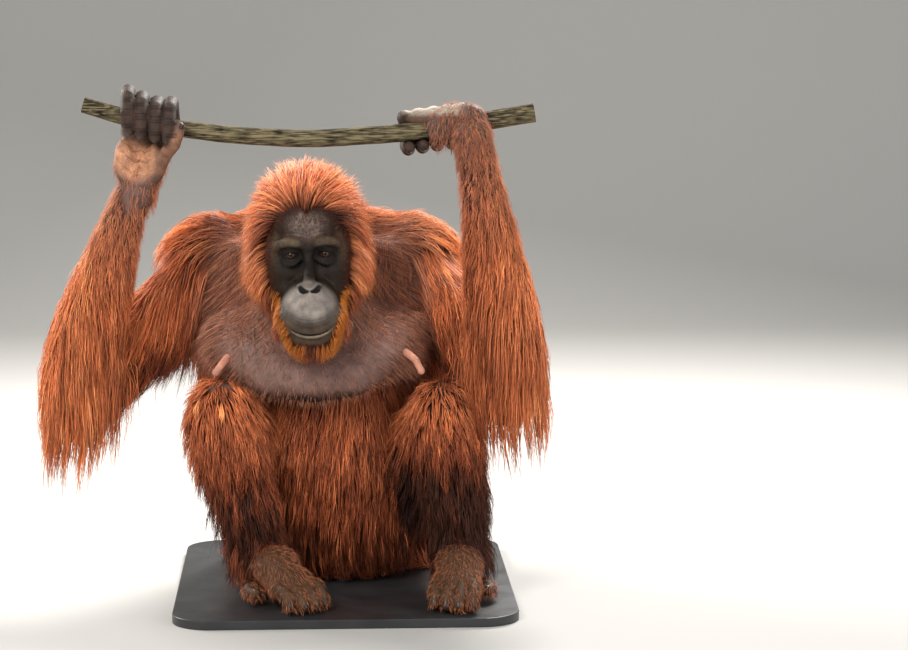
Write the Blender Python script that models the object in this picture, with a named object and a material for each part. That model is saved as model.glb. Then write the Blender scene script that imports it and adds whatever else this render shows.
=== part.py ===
"""A female orangutan that sits with both arms raised and grips a vine, life size, on a plain stand.

Metres, +Z up. She faces -Y, so her right side is at -X. The origin lies on the underside of the
stand's base, below the body's midline. Places are given above the seat, the plane that the
rump and the feet rest on, and the finished nodes are all lifted by the seat's height.
"""

import math
import random

import bmesh
import bpy
from mathutils import Matrix, Vector
from mathutils.bvhtree import BVHTree

# Driving sizes
GAP = 0.0003
ROOM = 0.0004
MOST_ROOM = 0.002
LEAST_OVERLAP = 1e-13
BASE_SIZE = (0.52, 0.60, 0.014)
BASE_MIDDLE = (0.035, -0.045)
BASE_CORNER = 0.06
SEAT = BASE_SIZE[2] + GAP
ROD_RADIUS = 0.006
ROD_PLACE = (0.032, -0.075)
COAT_SHARE = 1.0

# Joints of the skeleton, above the seat
HIP = {"right": Vector((-0.070, 0.050, 0.105)), "left": Vector((0.112, 0.050, 0.105))}
KNEE = {"right": Vector((-0.150, -0.150, 0.285)), "left": Vector((0.190, -0.150, 0.278))}
ANKLE = {"right": Vector((-0.097, -0.150, 0.072)), "left": Vector((0.217, -0.150, 0.072))}
TOE = {"right": Vector((-0.040, -0.268, 0.028)), "left": Vector((0.200, -0.272, 0.028))}
SHOULDER = {"right": Vector((-0.170, 0.025, 0.500)), "left": Vector((0.143, 0.025, 0.500))}
ELBOW = {"right": Vector((-0.372, -0.090, 0.300)), "left": Vector((0.285, -0.165, 0.335))}
WRIST = {"right": Vector((-0.270, -0.188, 0.640)), "left": Vector((0.226, -0.236, 0.712))}

# The vine, a few points along its middle and its radius there
VINE_Y = -0.200
VINE = (
    (-0.352, 0.754, 0.0122),
    (-0.256, 0.725, 0.0126),
    (-0.134, 0.708, 0.0130),
    (-0.015, 0.702, 0.0132),
    (0.120, 0.710, 0.0136),
    (0.240, 0.727, 0.0142),
    (0.322, 0.741, 0.0146),
)

# The head's own frame: its origin lies between the eyes, inside the skull
HEAD_PLACE = Vector((-0.0185, -0.120, 0.530))
HEAD_ROLL = math.radians(-2.3)
EYE_HALF_SPACING = 0.0255
EYE_DEPTH = -0.0960
EYE_RADIUS = 0.0103
LID_THICKNESS = 0.0022

COLOURS = {
    "coat": (0.50, 0.17, 0.06),
    "coat_dark": (0.33, 0.13, 0.07),
    "face": (0.10, 0.085, 0.08),
    "skin": (0.27, 0.21, 0.19),
    "eye": (0.06, 0.03, 0.02),
    "nipple": (0.62, 0.36, 0.28),
    "bark": (0.36, 0.31, 0.23),
    "stand": (0.09, 0.09, 0.09),
}
ROUGHNESS = {"eye": 0.1, "stand": 0.5}


def clear_scene():
    for obj in list(bpy.data.objects):
        bpy.data.objects.remove(obj, do_unlink=True)


def material(name):
    found = bpy.data.materials.get(name)
    if found:
        return found
    made = bpy.data.materials.new(name)
    made.use_nodes = True
    shader = made.node_tree.nodes["Principled BSDF"]
    shader.inputs["Base Color"].default_value = (*COLOURS[name], 1)
    shader.inputs["Roughness"].default_value = ROUGHNESS.get(name, 0.8)
    return made


def add_object(name, mesh):
    obj = bpy.data.objects.new(name, mesh)
    bpy.context.scene.collection.objects.link(obj)
    return obj


def object_from(bm, name="work"):
    bmesh.ops.recalc_face_normals(bm, faces=bm.faces)
    mesh = bpy.data.meshes.new(name)
    bm.to_mesh(mesh)
    bm.free()
    return add_object(name, mesh)


def settle(obj):
    """Applies the object's modifiers."""
    graph = bpy.context.evaluated_depsgraph_get()
    mesh = bpy.data.meshes.new_from_object(obj.evaluated_get(graph))
    obj.modifiers.clear()
    old = obj.data
    obj.data = mesh
    bpy.data.meshes.remove(old)
    return obj


def drop(*objects):
    for obj in objects:
        bpy.data.objects.remove(obj, do_unlink=True)


# Simple closed shapes


def ball(centre, radii, tilt=0.0, detail=3):
    """An ellipsoid, turned by tilt about X."""
    bm = bmesh.new()
    bmesh.ops.create_icosphere(bm, subdivisions=detail, radius=1.0)
    if isinstance(radii, float):
        radii = (radii, radii, radii)
    place = Matrix.Translation(centre) @ Matrix.Rotation(tilt, 4, "X") @ Matrix.Diagonal((*radii, 1))
    bmesh.ops.transform(bm, matrix=place, verts=bm.verts)
    return object_from(bm)


def tube(stations, sides=10, up=Vector((0, -1, 0))):
    """A closed tube through (point, half width, half height) stations, with flat ends."""
    bm = bmesh.new()
    points = [Vector(s[0]) for s in stations]
    loops = []
    for i, (_, wide, high) in enumerate(stations):
        ahead = points[min(i + 1, len(points) - 1)] - points[max(i - 1, 0)]
        ahead.normalize()
        across = ahead.cross(up).normalized()
        top = across.cross(ahead)
        ring = []
        for k in range(sides):
            turn = 2 * math.pi * k / sides
            ring.append(bm.verts.new(points[i] + across * wide * math.cos(turn) + top * high * math.sin(turn)))
        loops.append(ring)
    for a, b in zip(loops, loops[1:]):
        for k in range(sides):
            bm.faces.new((a[k], a[(k + 1) % sides], b[(k + 1) % sides], b[k]))
    bm.faces.new(loops[0])
    bm.faces.new(loops[-1])
    return object_from(bm)


def limb(start, end, sizes, sides=10, up=Vector((0, -1, 0))):
    """A tube from start to end, with sizes as (share of the length, half width, half height)."""
    span = end - start
    stations = [(start + span * t, wide, high) for t, wide, high in sizes]
    return tube(stations, sides, up)


# Joining and cutting


def join(objects):
    bm = bmesh.new()
    for obj in objects:
        bm.from_mesh(obj.data)
    joined = object_from(bm)
    drop(*objects)
    return joined


def fuse(objects, voxel, smoothing, triangles):
    """One smooth closed skin round overlapping shapes."""
    obj = join(objects)
    remesh = obj.modifiers.new("skin", "REMESH")
    remesh.mode = "VOXEL"
    remesh.voxel_size = voxel
    smooth = obj.modifiers.new("smooth", "SMOOTH")
    smooth.factor = 0.5
    smooth.iterations = smoothing
    settle(obj)
    return thin_out(obj, triangles)


def thin_out(obj, triangles):
    count = sum(len(p.vertices) - 2 for p in obj.data.polygons)
    decimate = obj.modifiers.new("fewer", "DECIMATE")
    decimate.ratio = min(1.0, triangles / count)
    decimate.use_collapse_triangulate = True
    return settle(obj)


def boolean(obj, others, operation, solver="MANIFOLD"):
    """Joins or cuts obj with the other objects, which are then removed."""
    if not others:
        return obj
    group = bpy.data.collections.new("operands")
    for other in others:
        group.objects.link(other)
    modifier = obj.modifiers.new("boolean", "BOOLEAN")
    modifier.operation = operation
    modifier.solver = solver
    modifier.operand_type = "COLLECTION"
    modifier.collection = group
    settle(obj)
    bpy.data.collections.remove(group)
    drop(*others)
    return largest_body(obj) if obj.data.polygons else obj


def volume(obj):
    bm = bmesh.new()
    bm.from_mesh(obj.data)
    size = bm.calc_volume()
    bm.free()
    return size


def overlap(a, b):
    common = boolean(copy_of(a), [copy_of(b)], "INTERSECT")
    size = volume(common)
    drop(common)
    return size


def largest_body(obj):
    """Keeps only the largest closed surface of the object."""
    bm = bmesh.new()
    bm.from_mesh(obj.data)
    left = set(bm.verts)
    bodies = []
    while left:
        start = left.pop()
        body = {start}
        edge_of_search = [start]
        while edge_of_search:
            vert = edge_of_search.pop()
            for edge in vert.link_edges:
                other = edge.other_vert(vert)
                if other in left:
                    left.discard(other)
                    body.add(other)
                    edge_of_search.append(other)
        bodies.append(body)
    if len(bodies) > 1:
        bodies.sort(key=lambda body: -box_volume(body))
        for body in bodies[1:]:
            bmesh.ops.delete(bm, geom=list(body), context="VERTS")
        bm.to_mesh(obj.data)
    bm.free()
    return obj


def box_volume(verts):
    size = 1.0
    for axis in range(3):
        reach = [v.co[axis] for v in verts]
        size *= max(reach) - min(reach)
    return size


def grown(mesh, by=ROOM):
    """A copy of the mesh, swollen by the gap, that cuts room for its neighbours."""
    copy = add_object("grown", mesh.copy())
    moved = [v.co + v.normal * by for v in copy.data.vertices]
    for vert, place in zip(copy.data.vertices, moved):
        vert.co = place
    return copy


def cut_flat(obj, point, normal):
    """Removes what lies on the side of the plane that the normal points to."""
    bm = bmesh.new()
    bm.from_mesh(obj.data)
    geometry = [*bm.verts, *bm.edges, *bm.faces]
    cut = bmesh.ops.bisect_plane(bm, geom=geometry, plane_co=point, plane_no=normal, clear_outer=True)
    rim = [e for e in cut["geom_cut"] if isinstance(e, bmesh.types.BMEdge)]
    bmesh.ops.holes_fill(bm, edges=rim, sides=0)
    bmesh.ops.recalc_face_normals(bm, faces=bm.faces)
    bm.to_mesh(obj.data)
    bm.free()
    return obj


def copy_of(obj):
    return add_object("copy", obj.data.copy())


# The nodes, each cut clear of those made before it, and the shape of each before that cut

NODES = {}
SHAPES = {}


def reach(obj):
    low = [min(v.co[axis] for v in obj.data.vertices) for axis in range(3)]
    high = [max(v.co[axis] for v in obj.data.vertices) for axis in range(3)]
    return low, high


def boxes_meet(a, b, margin=0.002):
    (low_a, high_a), (low_b, high_b) = reach(a), reach(b)
    return all(low_a[k] <= high_b[k] + margin and low_b[k] <= high_a[k] + margin for k in range(3))


def store(name, obj, finish, apart=False):
    """Names a node, cuts it clear of the nodes made before it and gives it its finish."""
    shape = obj.data.copy()
    if not apart:
        near = [key for key in NODES if boxes_meet(obj, NODES[key])]
        boolean(obj, [grown(SHAPES[key]) for key in near], "DIFFERENCE")
    for other in NODES.values():
        by = ROOM
        while boxes_meet(obj, other) and overlap(obj, other) > LEAST_OVERLAP and by < MOST_ROOM:
            boolean(obj, [grown(other.data, by)], "DIFFERENCE")
            by += ROOM
    obj.name = name
    obj.data.name = name
    obj.data.materials.clear()
    obj.data.materials.append(material(finish))
    NODES[name] = obj
    SHAPES[name] = shape
    return obj


# Locks of hair

SINK = 0.007
LOCK_SHAPE = ((0.0, 0.66, 1.0), (0.36, 1.0, 1.0), (0.72, 0.78, 0.75))
DOWN = Vector((0, 0, -1))
RAY = Vector((0.41, -0.53, 0.74)).normalized()


def trim(lock, core):
    """Cuts a lock clear of every other node. False, and the lock is gone, where that can't be done."""
    for other in NODES.values():
        if other is core or not boxes_meet(lock, other) or overlap(lock, other) < LEAST_OVERLAP:
            continue
        boolean(lock, [grown(other.data)], "DIFFERENCE")
        if not lock.data.polygons or overlap(lock, other) > LEAST_OVERLAP:
            drop(lock)
            return False
    return True


class Coat:
    """Flat tapered locks that grow from one surface, and lie where lead points."""

    def __init__(self, surface, lead, seed, avoid=()):
        graph = bpy.context.evaluated_depsgraph_get()
        self.tree = BVHTree.FromObject(surface, graph)
        self.lead = lead
        self.chance = random.Random(seed)
        self.avoid = [BVHTree.FromObject(other, graph) for other in avoid]
        self.locks = []

    def outermost(self, inside, away):
        """Where a ray from inside leaves the surface for good, with the normal there."""
        away = away.normalized()
        place, normal = self.tree.ray_cast(inside + away * 0.6, -away)[:2]
        return place, normal

    def along_lie(self, place, up):
        lie = self.lead(place, up)
        lie = lie - up * lie.dot(up)
        return lie.normalized() if lie.length > 1e-4 else up.cross(Vector((1, 0, 0))).normalized()

    def blocked(self, place):
        """Whether the place lies inside a neighbour, by how often a ray crosses each."""
        for tree in self.avoid:
            crossings = 0
            spot = tree.ray_cast(place, RAY)[0]
            while spot is not None:
                crossings += 1
                spot = tree.ray_cast(spot + RAY * 1e-5, RAY)[0]
            if crossings % 2:
                return True
        return False

    def grow(self, place, up, length, width, rise, thickness=0.009, free=1.0, hang=0.0):
        """One lock. From the share free of its length on it leaves the surface and hangs."""
        if place is None:
            return
        length *= self.chance.uniform(0.86, 1.14)
        width *= self.chance.uniform(0.90, 1.12)
        sway = self.chance.uniform(-0.16, 0.16)
        points = [place - up * SINK]
        ups = [up]
        spot = place
        shares = [share for share, _, _ in LOCK_SHAPE] + [1.0]
        for before, share in zip(shares, shares[1:]):
            lie = self.along_lie(spot, up)
            lie = (lie + up.cross(lie) * sway).normalized()
            step = length * (share - before)
            if share <= free:
                near, normal = self.tree.find_nearest(spot + lie * step)[:2]
                up = (up * 0.4 + normal * 0.6).normalized()
                spot = near
                point = spot + up * rise * share ** 0.6
            else:
                point = points[-1] + (lie + up * 0.12 + DOWN * hang).normalized() * step
                spot = point
            points.append(point)
            ups.append(up)
        if self.blocked(points[1]) or self.blocked(points[2]):
            return
        if self.blocked(points[3]):
            points[3] = points[2].lerp(points[3], 0.4)
        self.locks.append(flat_lock(points, ups, width, thickness))

    def onto(self, core):
        """Cuts each lock clear of the neighbours and joins them to the core."""
        kept = [lock for lock in self.locks if trim(lock, core)]
        return boolean(core, kept, "UNION")


def flat_lock(points, ups, width, thickness):
    """A closed lock through the points, flat below and ridged above, which narrows to a tip."""
    bm = bmesh.new()
    rings = []
    for i, (_, wide, thick) in enumerate(LOCK_SHAPE):
        ahead = (points[i + 1] - points[max(i - 1, 0)]).normalized()
        across = ahead.cross(ups[i]).normalized()
        top = across.cross(ahead)
        half = across * width * wide / 2
        crest = top * thickness * thick
        corners = (half - crest * 0.5, crest * 0.5, -half - crest * 0.5)
        rings.append([bm.verts.new(points[i] + corner) for corner in corners])
    for a, b in zip(rings, rings[1:]):
        for k in range(3):
            bm.faces.new((a[k], a[(k + 1) % 3], b[(k + 1) % 3], b[k]))
    tip = bm.verts.new(points[-1])
    for k in range(3):
        bm.faces.new((rings[-1][k], rings[-1][(k + 1) % 3], tip))
    bm.faces.new(rings[0])
    bmesh.ops.triangulate(bm, faces=bm.faces)
    return object_from(bm, "lock")


# Trunk

TRUNK_COAT = 0.016
TRUNK = (
    ((0.022, 0.075, 0.012), 0.105, 0.085),
    ((0.022, 0.058, 0.060), 0.136, 0.128),
    ((0.022, 0.032, 0.130), 0.148, 0.156),
    ((0.018, 0.024, 0.210), 0.150, 0.166),
    ((0.010, 0.028, 0.300), 0.148, 0.163),
    ((0.000, 0.040, 0.390), 0.148, 0.142),
    ((-0.008, 0.048, 0.470), 0.142, 0.118),
    ((-0.012, 0.052, 0.540), 0.112, 0.088),
    ((-0.012, 0.050, 0.585), 0.060, 0.048),
)
SHOULDER_BALL = 0.060


def make_torso():
    rings = [(place, wide + TRUNK_COAT, deep + TRUNK_COAT) for place, wide, deep in TRUNK]
    lumps = [tube(rings, 24, Vector((0, -1, 0)))]
    for side in ("right", "left"):
        lumps.append(ball(SHOULDER[side] + Vector((0, 0.008, 0.004)), SHOULDER_BALL + TRUNK_COAT))
    lumps.append(ball((-0.012, -0.070, 0.440), (0.095, 0.045, 0.080)))
    lumps.append(ball((-0.012, 0.050, 0.512), (0.190, 0.086, 0.088)))
    lumps.append(ball((-0.006, 0.060, 0.420), (0.165, 0.130, 0.120)))
    torso = fuse(lumps, 0.008, 14, 380)
    return cut_flat(torso, (0, 0, 0), (0, 0, -1))


def make_neck():
    lumps = [
        ball((-0.015, -0.045, 0.520), (0.074, 0.085, 0.062)),
        ball((-0.016, -0.110, 0.440), (0.062, 0.060, 0.055)),
    ]
    return fuse(lumps, 0.008, 6, 160)


BREAST_FOLD = (
    ((-0.150, -0.112, 0.398), 0.026),
    ((-0.134, -0.146, 0.372), 0.034),
    ((-0.074, -0.178, 0.342), 0.038),
    ((-0.013, -0.188, 0.334), 0.038),
    ((0.046, -0.178, 0.342), 0.038),
    ((0.110, -0.146, 0.376), 0.034),
    ((0.130, -0.112, 0.402), 0.026),
)
FOLD_CUTS = (-0.062, 0.036)
NIPPLES = {
    "right": ((-0.1400, -0.1740, 0.3690), (-0.1520, -0.1860, 0.3570), (-0.1620, -0.1880, 0.3440)),
    "left": ((0.1260, -0.1720, 0.3760), (0.1420, -0.1830, 0.3640), (0.1530, -0.1860, 0.3440)),
}


def make_chest_fold():
    """The nearly bare skin of chest, breasts and throat, which hangs in a fold over the belly."""
    lumps = [tube([(place, radius, radius) for place, radius in BREAST_FOLD], 14)]
    lumps.append(ball((-0.013, -0.125, 0.392), (0.120, 0.052, 0.062)))
    for side in (-1, 1):
        lumps.append(ball((side * 0.092 - 0.012, -0.058, 0.420), (0.048, 0.036, 0.085)))
    return fuse(lumps, 0.006, 10, 300)


def make_nipple(side):
    sizes = (0.0070, 0.0058, 0.0044)
    stations = [(place, size, size) for place, size in zip(NIPPLES[side], sizes)]
    return tube(stations, 6)


# Head


def head_matrix():
    return Matrix.Translation(HEAD_PLACE) @ Matrix.Rotation(HEAD_ROLL, 4, "Y")


def into_place(obj):
    obj.data.transform(head_matrix())
    return obj


BROW = (
    (0.003, -0.1130, 0.0120, 0.0070),
    (0.013, -0.1170, 0.0175, 0.0078),
    (0.026, -0.1160, 0.0205, 0.0082),
    (0.039, -0.1070, 0.0180, 0.0080),
    (0.050, -0.0910, 0.0080, 0.0080),
)
NOSE = (
    (0, -0.1060, 0.0060, 0.0075),
    (0, -0.1200, -0.0160, 0.0070),
    (0, -0.1370, -0.0330, 0.0085),
    (0, -0.1480, -0.0420, 0.0080),
)


def strand(points, mirror=1, sides=8):
    """A tube through (x, y, z, radius) points, on either side of the middle."""
    stations = [(Vector((mirror * x, y, z)), r, r) for x, y, z, r in points]
    return tube(stations, sides, Vector((0.3, 0, 1)))


def make_skull():
    """The flesh of the whole head in its own frame, without its openings."""
    lumps = [
        ball((0, -0.028, 0.022), (0.062, 0.078, 0.070)),
        ball((0, -0.064, 0.042), (0.050, 0.042, 0.046)),
        ball((0, -0.048, -0.048), (0.049, 0.058, 0.062)),
        ball((0, -0.110, -0.080), (0.047, 0.066, 0.042), tilt=0.15),
        ball((0, -0.138, -0.080), (0.039, 0.038, 0.040), tilt=0.10),
        ball((0, -0.096, -0.110), (0.037, 0.060, 0.028), tilt=0.10),
        ball((0, -0.140, -0.122), (0.024, 0.020, 0.015)),
        strand(NOSE),
    ]
    for side in (-1, 1):
        lumps += [
            strand(BROW, side),
            ball((side * 0.050, -0.074, -0.004), (0.013, 0.022, 0.028)),
            ball((side * 0.036, -0.086, -0.022), (0.018, 0.019, 0.013)),
            ball((side * 0.042, -0.064, -0.038), (0.019, 0.032, 0.040)),
            ball((side * 0.0100, -0.1450, -0.0440), (0.0072, 0.0080, 0.0062)),
        ]
    return lumps


MOUTH_CENTRE = Vector((0, -0.176, -0.109))
MOUTH_SLOPE = math.radians(26)
MOUTH_HALF_WIDTH = 0.046
FACE_PLANE = -0.058
HOOD_TOP = Vector((0, -0.092, 0.080))
HOOD_SLOPE = math.radians(13)
FLESH_TRIANGLES = 1020
BACK_TRIANGLES = 340


def lips():
    """Two thin rounded rims that follow the mouth's sloping line round the muzzle."""
    rims = []
    turn = Matrix.Rotation(MOUTH_SLOPE, 4, "X")
    for lift, reach, radius in ((0.0034, -0.002, 0.0036), (-0.0044, -0.001, 0.0044)):
        stations = []
        for i in range(9):
            a = math.radians(-72 + 18 * i)
            flat = Vector((MOUTH_HALF_WIDTH * math.sin(a), 0.060 - (0.060 + reach) * math.cos(a), lift))
            stations.append((MOUTH_CENTRE + turn @ flat, radius, radius))
        rims.append(tube(stations, 8, Vector((0, 0, 1))))
    return rims


def make_head_shapes():
    """The head's flesh, cut into its back, its face and its jaw."""
    whole = fuse(make_skull() + lips(), 0.0022, 4, FLESH_TRIANGLES)
    for side in (-1, 1):
        eye = Vector((side * EYE_HALF_SPACING, EYE_DEPTH, 0))
        boolean(whole, [ball(eye, EYE_RADIUS + LID_THICKNESS, detail=2)], "UNION")
        opening = ball(eye + Vector((0, -0.0125, -0.0005)), (0.0098, 0.0100, 0.0048), detail=2)
        room = ball(eye, EYE_RADIUS + GAP, detail=2)
        nostril = ball((side * 0.0062, -0.154, -0.0455), (0.0034, 0.0080, 0.0026), tilt=-0.5, detail=2)
        boolean(whole, [opening, room, nostril], "DIFFERENCE")
    up = Vector((0, -math.sin(MOUTH_SLOPE), math.cos(MOUTH_SLOPE)))
    half_gap = up * GAP / 2
    back = cut_flat(thin_out(copy_of(whole), BACK_TRIANGLES), (0, FACE_PLANE + GAP, 0), (0, -1, 0))
    front = cut_flat(copy_of(whole), (0, FACE_PLANE, 0), (0, 1, 0))
    face = cut_flat(copy_of(front), MOUTH_CENTRE + half_gap, -up)
    jaw = cut_flat(front, MOUTH_CENTRE - half_gap, up)
    room = cut_flat(grown(whole.data), (0, FACE_PLANE + GAP, 0), (0, 1, 0))
    for piece in (back, face, jaw):
        largest_body(piece)
        into_place(piece)
    drop(whole)
    return back, face, jaw, into_place(room)


def make_hood(back, room):
    """The back of the head with the lower half of the hood of hair that frames the face."""
    hood = ball((0, -0.030, 0.018), (0.086, 0.098, 0.103))
    cheeks = ball((0, -0.022, -0.062), (0.084, 0.062, 0.074))
    hood = fuse([hood, cheeks], 0.007, 4, 230)
    cut_flat(hood, HOOD_TOP, (0, -math.cos(HOOD_SLOPE), -math.sin(HOOD_SLOPE)))
    boolean(into_place(hood), [room], "DIFFERENCE")
    return boolean(hood, [back], "UNION")


BEARD = (
    (0.050, -0.070, -0.062, 0.013),
    (0.049, -0.088, -0.092, 0.015),
    (0.042, -0.104, -0.122, 0.017),
    (0.026, -0.116, -0.140, 0.017),
    (0.000, -0.118, -0.146, 0.018),
)


def make_beard():
    """The core of the short beard that hangs below the jaw, from cheek to cheek."""
    beard = fuse([strand(BEARD), strand(BEARD, -1)], 0.005, 4, 110)
    return into_place(beard)


def make_eye(side):
    place = Vector((side * EYE_HALF_SPACING, EYE_DEPTH, 0))
    return into_place(ball(place, EYE_RADIUS, detail=2))


def make_ear(side):
    """A small cup that stands a little off the head."""
    ear = ball((side * 0.088, -0.032, -0.002), (0.0080, 0.0150, 0.0200), detail=2)
    scoop = ball((side * 0.096, -0.035, -0.001), (0.0075, 0.0100, 0.0140), detail=1)
    return into_place(boolean(ear, [scoop], "DIFFERENCE"))


# Arms


def make_upper_arm(side):
    c = 0.022 * COAT_SHARE
    sizes = (
        (-0.05, 0.046 + c, 0.046 + c),
        (0.25, 0.046 + c, 0.044 + c),
        (0.60, 0.042 + c, 0.040 + c),
        (0.92, 0.038 + c, 0.038 + c),
        (1.08, 0.026 + c, 0.026 + c),
        (1.15, 0.012 + c / 2, 0.012 + c / 2),
    )
    return limb(SHOULDER[side], ELBOW[side], sizes, 12)


def make_forearm(side):
    c = 0.024 * COAT_SHARE
    sizes = (
        (-0.10, 0.016 + c, 0.016 + c),
        (-0.02, 0.034 + c, 0.034 + c),
        (0.18, 0.043 + c, 0.042 + c),
        (0.45, 0.038 + c, 0.036 + c),
        (0.75, 0.030 + c * 0.6, 0.027 + c * 0.6),
        (1.00, 0.029 + c * 0.2, 0.022 + c * 0.2),
    )
    return limb(ELBOW[side], WRIST[side], sizes, 12)


# Legs


def make_thigh(side):
    c = 0.025 * COAT_SHARE
    sizes = (
        (-0.05, 0.062 + c, 0.062 + c),
        (0.30, 0.062 + c, 0.060 + c),
        (0.70, 0.052 + c, 0.050 + c),
        (0.95, 0.044 + c, 0.044 + c),
        (1.08, 0.034 + c, 0.034 + c),
        (1.16, 0.016 + c / 2, 0.016 + c / 2),
    )
    return cut_flat(limb(HIP[side], KNEE[side], sizes, 12), (0, 0, 0), (0, 0, -1))


def make_shin(side):
    c = 0.022 * COAT_SHARE
    sizes = (
        (-0.12, 0.030 + c, 0.030 + c),
        (0.10, 0.042 + c, 0.044 + c),
        (0.40, 0.040 + c, 0.042 + c),
        (0.75, 0.030 + c, 0.032 + c),
        (1.05, 0.030 + c * 0.7, 0.032 + c * 0.7),
    )
    return limb(KNEE[side], ANKLE[side], sizes, 12)


def make_foot(side):
    """Heel, instep and the ball that the toes grow from, flat underneath."""
    ankle, toe = ANKLE[side], TOE[side]
    ahead = (toe - ankle)
    ahead.z = 0
    ahead.normalize()
    heel = ankle - ahead * 0.035
    heel.z = 0.028
    lumps = [
        ball(heel, (0.030, 0.034, 0.030)),
        ball(ankle + Vector((0, 0, -0.012)), (0.034, 0.036, 0.034)),
        ball(ankle.lerp(toe, 0.45) + Vector((0, 0, 0.002)), (0.037, 0.050, 0.030)),
        ball(ankle.lerp(toe, 0.80), (0.038, 0.036, 0.026)),
    ]
    foot = fuse(lumps, 0.005, 5, 200)
    return cut_flat(foot, (0, 0, 0), (0, 0, -1))


TOE_SIDES = 6


def make_toe(side, index):
    """A long toe that curls under, from the ball of the foot."""
    ahead = TOE[side] - ANKLE[side]
    ahead.z = 0
    ahead.normalize()
    across = Vector((0, 0, 1)).cross(ahead)
    inward = 1 if side == "right" else -1
    offset = (index - 1.5) * 0.0185
    root = TOE[side] + across * offset * -inward - ahead * 0.012
    reach = (0.052, 0.060, 0.058, 0.048)[index]
    path = (
        (0.0, 0.030, 0.0100),
        (0.30, 0.034, 0.0102),
        (0.62, 0.031, 0.0100),
        (0.88, 0.023, 0.0095),
        (0.98, 0.0125, 0.0090),
        (0.86, 0.0095, 0.0085),
        (0.74, 0.0085, 0.0050),
    )
    stations = []
    for share, height, radius in path:
        place = root + ahead * reach * share
        place.z = height
        stations.append((place, radius, radius))
    toe = tube(stations, TOE_SIDES, Vector(across))
    return cut_flat(toe, (0, 0, 0), (0, 0, -1))


def make_big_toe(side):
    """The short big toe on the inner side of the foot."""
    ahead = TOE[side] - ANKLE[side]
    ahead.z = 0
    ahead.normalize()
    inward = Vector((0, 0, 1)).cross(ahead) * (-1 if side == "right" else 1)
    start = ANKLE[side].lerp(TOE[side], 0.30)
    start.z = 0.024
    path = ((0.015, 0.0, 0.013), (0.040, 0.012, 0.011), (0.050, 0.034, 0.0095), (0.046, 0.050, 0.0085), (0.038, 0.056, 0.005))
    stations = []
    for out, forward, radius in path:
        stations.append((start + inward * out + ahead * forward + Vector((0, 0, -0.006)), radius, radius))
    return cut_flat(tube(stations, TOE_SIDES, Vector((0, 0, 1))), (0, 0, 0), (0, 0, -1))


# Hands


def vine_at(x):
    """The vine's middle and radius at a place along X."""
    for (x0, z0, r0), (x1, z1, r1) in zip(VINE, VINE[1:]):
        if x <= x1 or (x1, z1, r1) == VINE[-1]:
            t = (x - x0) / (x1 - x0)
            return Vector((x, VINE_Y, z0 + (z1 - z0) * t)), r0 + (r1 - r0) * t
    return None


FINGER_RADIUS = 0.0106
FINGER_SIDES = 7
RIGHT_FINGERS = (-0.2200, -0.2425, -0.2650, -0.2870)
LEFT_FINGERS = (0.1930, 0.1710, 0.1490, 0.1275)


def make_right_palm():
    """Below the vine, with the knuckles behind it."""
    wrist = WRIST["right"]
    middle = (RIGHT_FINGERS[0] + RIGHT_FINGERS[3]) / 2
    stations = (
        (wrist + Vector((-0.003, 0.004, -0.012)), 0.029, 0.021),
        (wrist + Vector((0.002, 0.006, 0.022)), 0.036, 0.019),
        (Vector((middle + 0.001, VINE_Y + 0.030, 0.695)), 0.041, 0.016),
        (Vector((middle, VINE_Y + 0.034, 0.728)), 0.043, 0.013),
        (Vector((middle - 0.002, VINE_Y + 0.032, 0.750)), 0.041, 0.0105),
    )
    return fuse([tube(stations, 12)], 0.003, 3, 150)


def wrap_points(x, start_deg, end_deg, steps, lift, slant=0.0):
    """Points round the vine, from behind it over the top and down the front for rising angles."""
    points = []
    for i in range(steps):
        t = i / (steps - 1)
        angle = math.radians(start_deg + (end_deg - start_deg) * t)
        middle, radius = vine_at(x + slant * t)
        reach = radius + lift
        points.append(middle + Vector((0, math.cos(angle) * reach, math.sin(angle) * reach)))
    return points


def finger(points, radius, tip=0.55):
    stations = [(p, radius, radius) for p in points]
    last = points[-1]
    ahead = (points[-1] - points[-2]).normalized()
    stations.append((last + ahead * radius * 0.7, radius * tip, radius * tip))
    return tube(stations, FINGER_SIDES, Vector((1, 0, 0)))


def make_right_finger(index):
    x = RIGHT_FINGERS[index]
    lift = FINGER_RADIUS + 0.0012
    top = vine_at(x)[0].z
    length = (0.004, 0.010, 0.012, 0.008)[index]
    points = [
        Vector((x, VINE_Y + 0.032, top + 0.004)),
        Vector((x - 0.001, VINE_Y + 0.029, top + 0.024 + length / 2)),
        Vector((x - 0.002, VINE_Y + 0.010, top + 0.036 + length)),
        Vector((x - 0.002, VINE_Y - 0.014, top + 0.030 + length)),
        Vector((x, VINE_Y - 0.027, top + 0.010)),
    ]
    points.append(Vector((x, VINE_Y - 0.014 - lift, top - 0.010)))
    points.append(Vector((x + 0.001, VINE_Y - 0.012 - lift * 0.9, top - 0.022)))
    return finger(points, FINGER_RADIUS)


def make_right_thumb():
    wrist = WRIST["right"]
    points = [
        wrist + Vector((0.026, -0.008, 0.020)),
        wrist + Vector((0.040, -0.018, 0.040)),
        Vector((-0.2180, -0.226, 0.700)),
        Vector((-0.2125, -0.230, 0.722)),
        Vector((-0.2110, -0.229, 0.734)),
    ]
    return finger(points, 0.0092)


def make_left_palm():
    """From the bent wrist over the top of the vine, to the knuckles behind it."""
    wrist = WRIST["left"]
    stations = (
        (wrist + Vector((0.002, 0.000, -0.012)), 0.026, 0.022),
        (wrist + Vector((-0.004, 0.004, 0.018)), 0.031, 0.021),
        (Vector((0.200, -0.214, 0.752)), 0.034, 0.016),
        (Vector((0.178, -0.192, 0.752)), 0.036, 0.0125),
        (Vector((0.160, -0.176, 0.744)), 0.036, 0.0105),
    )
    return fuse([tube(stations, 12, Vector((0, 0.6, 0.8)))], 0.003, 3, 150)


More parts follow.
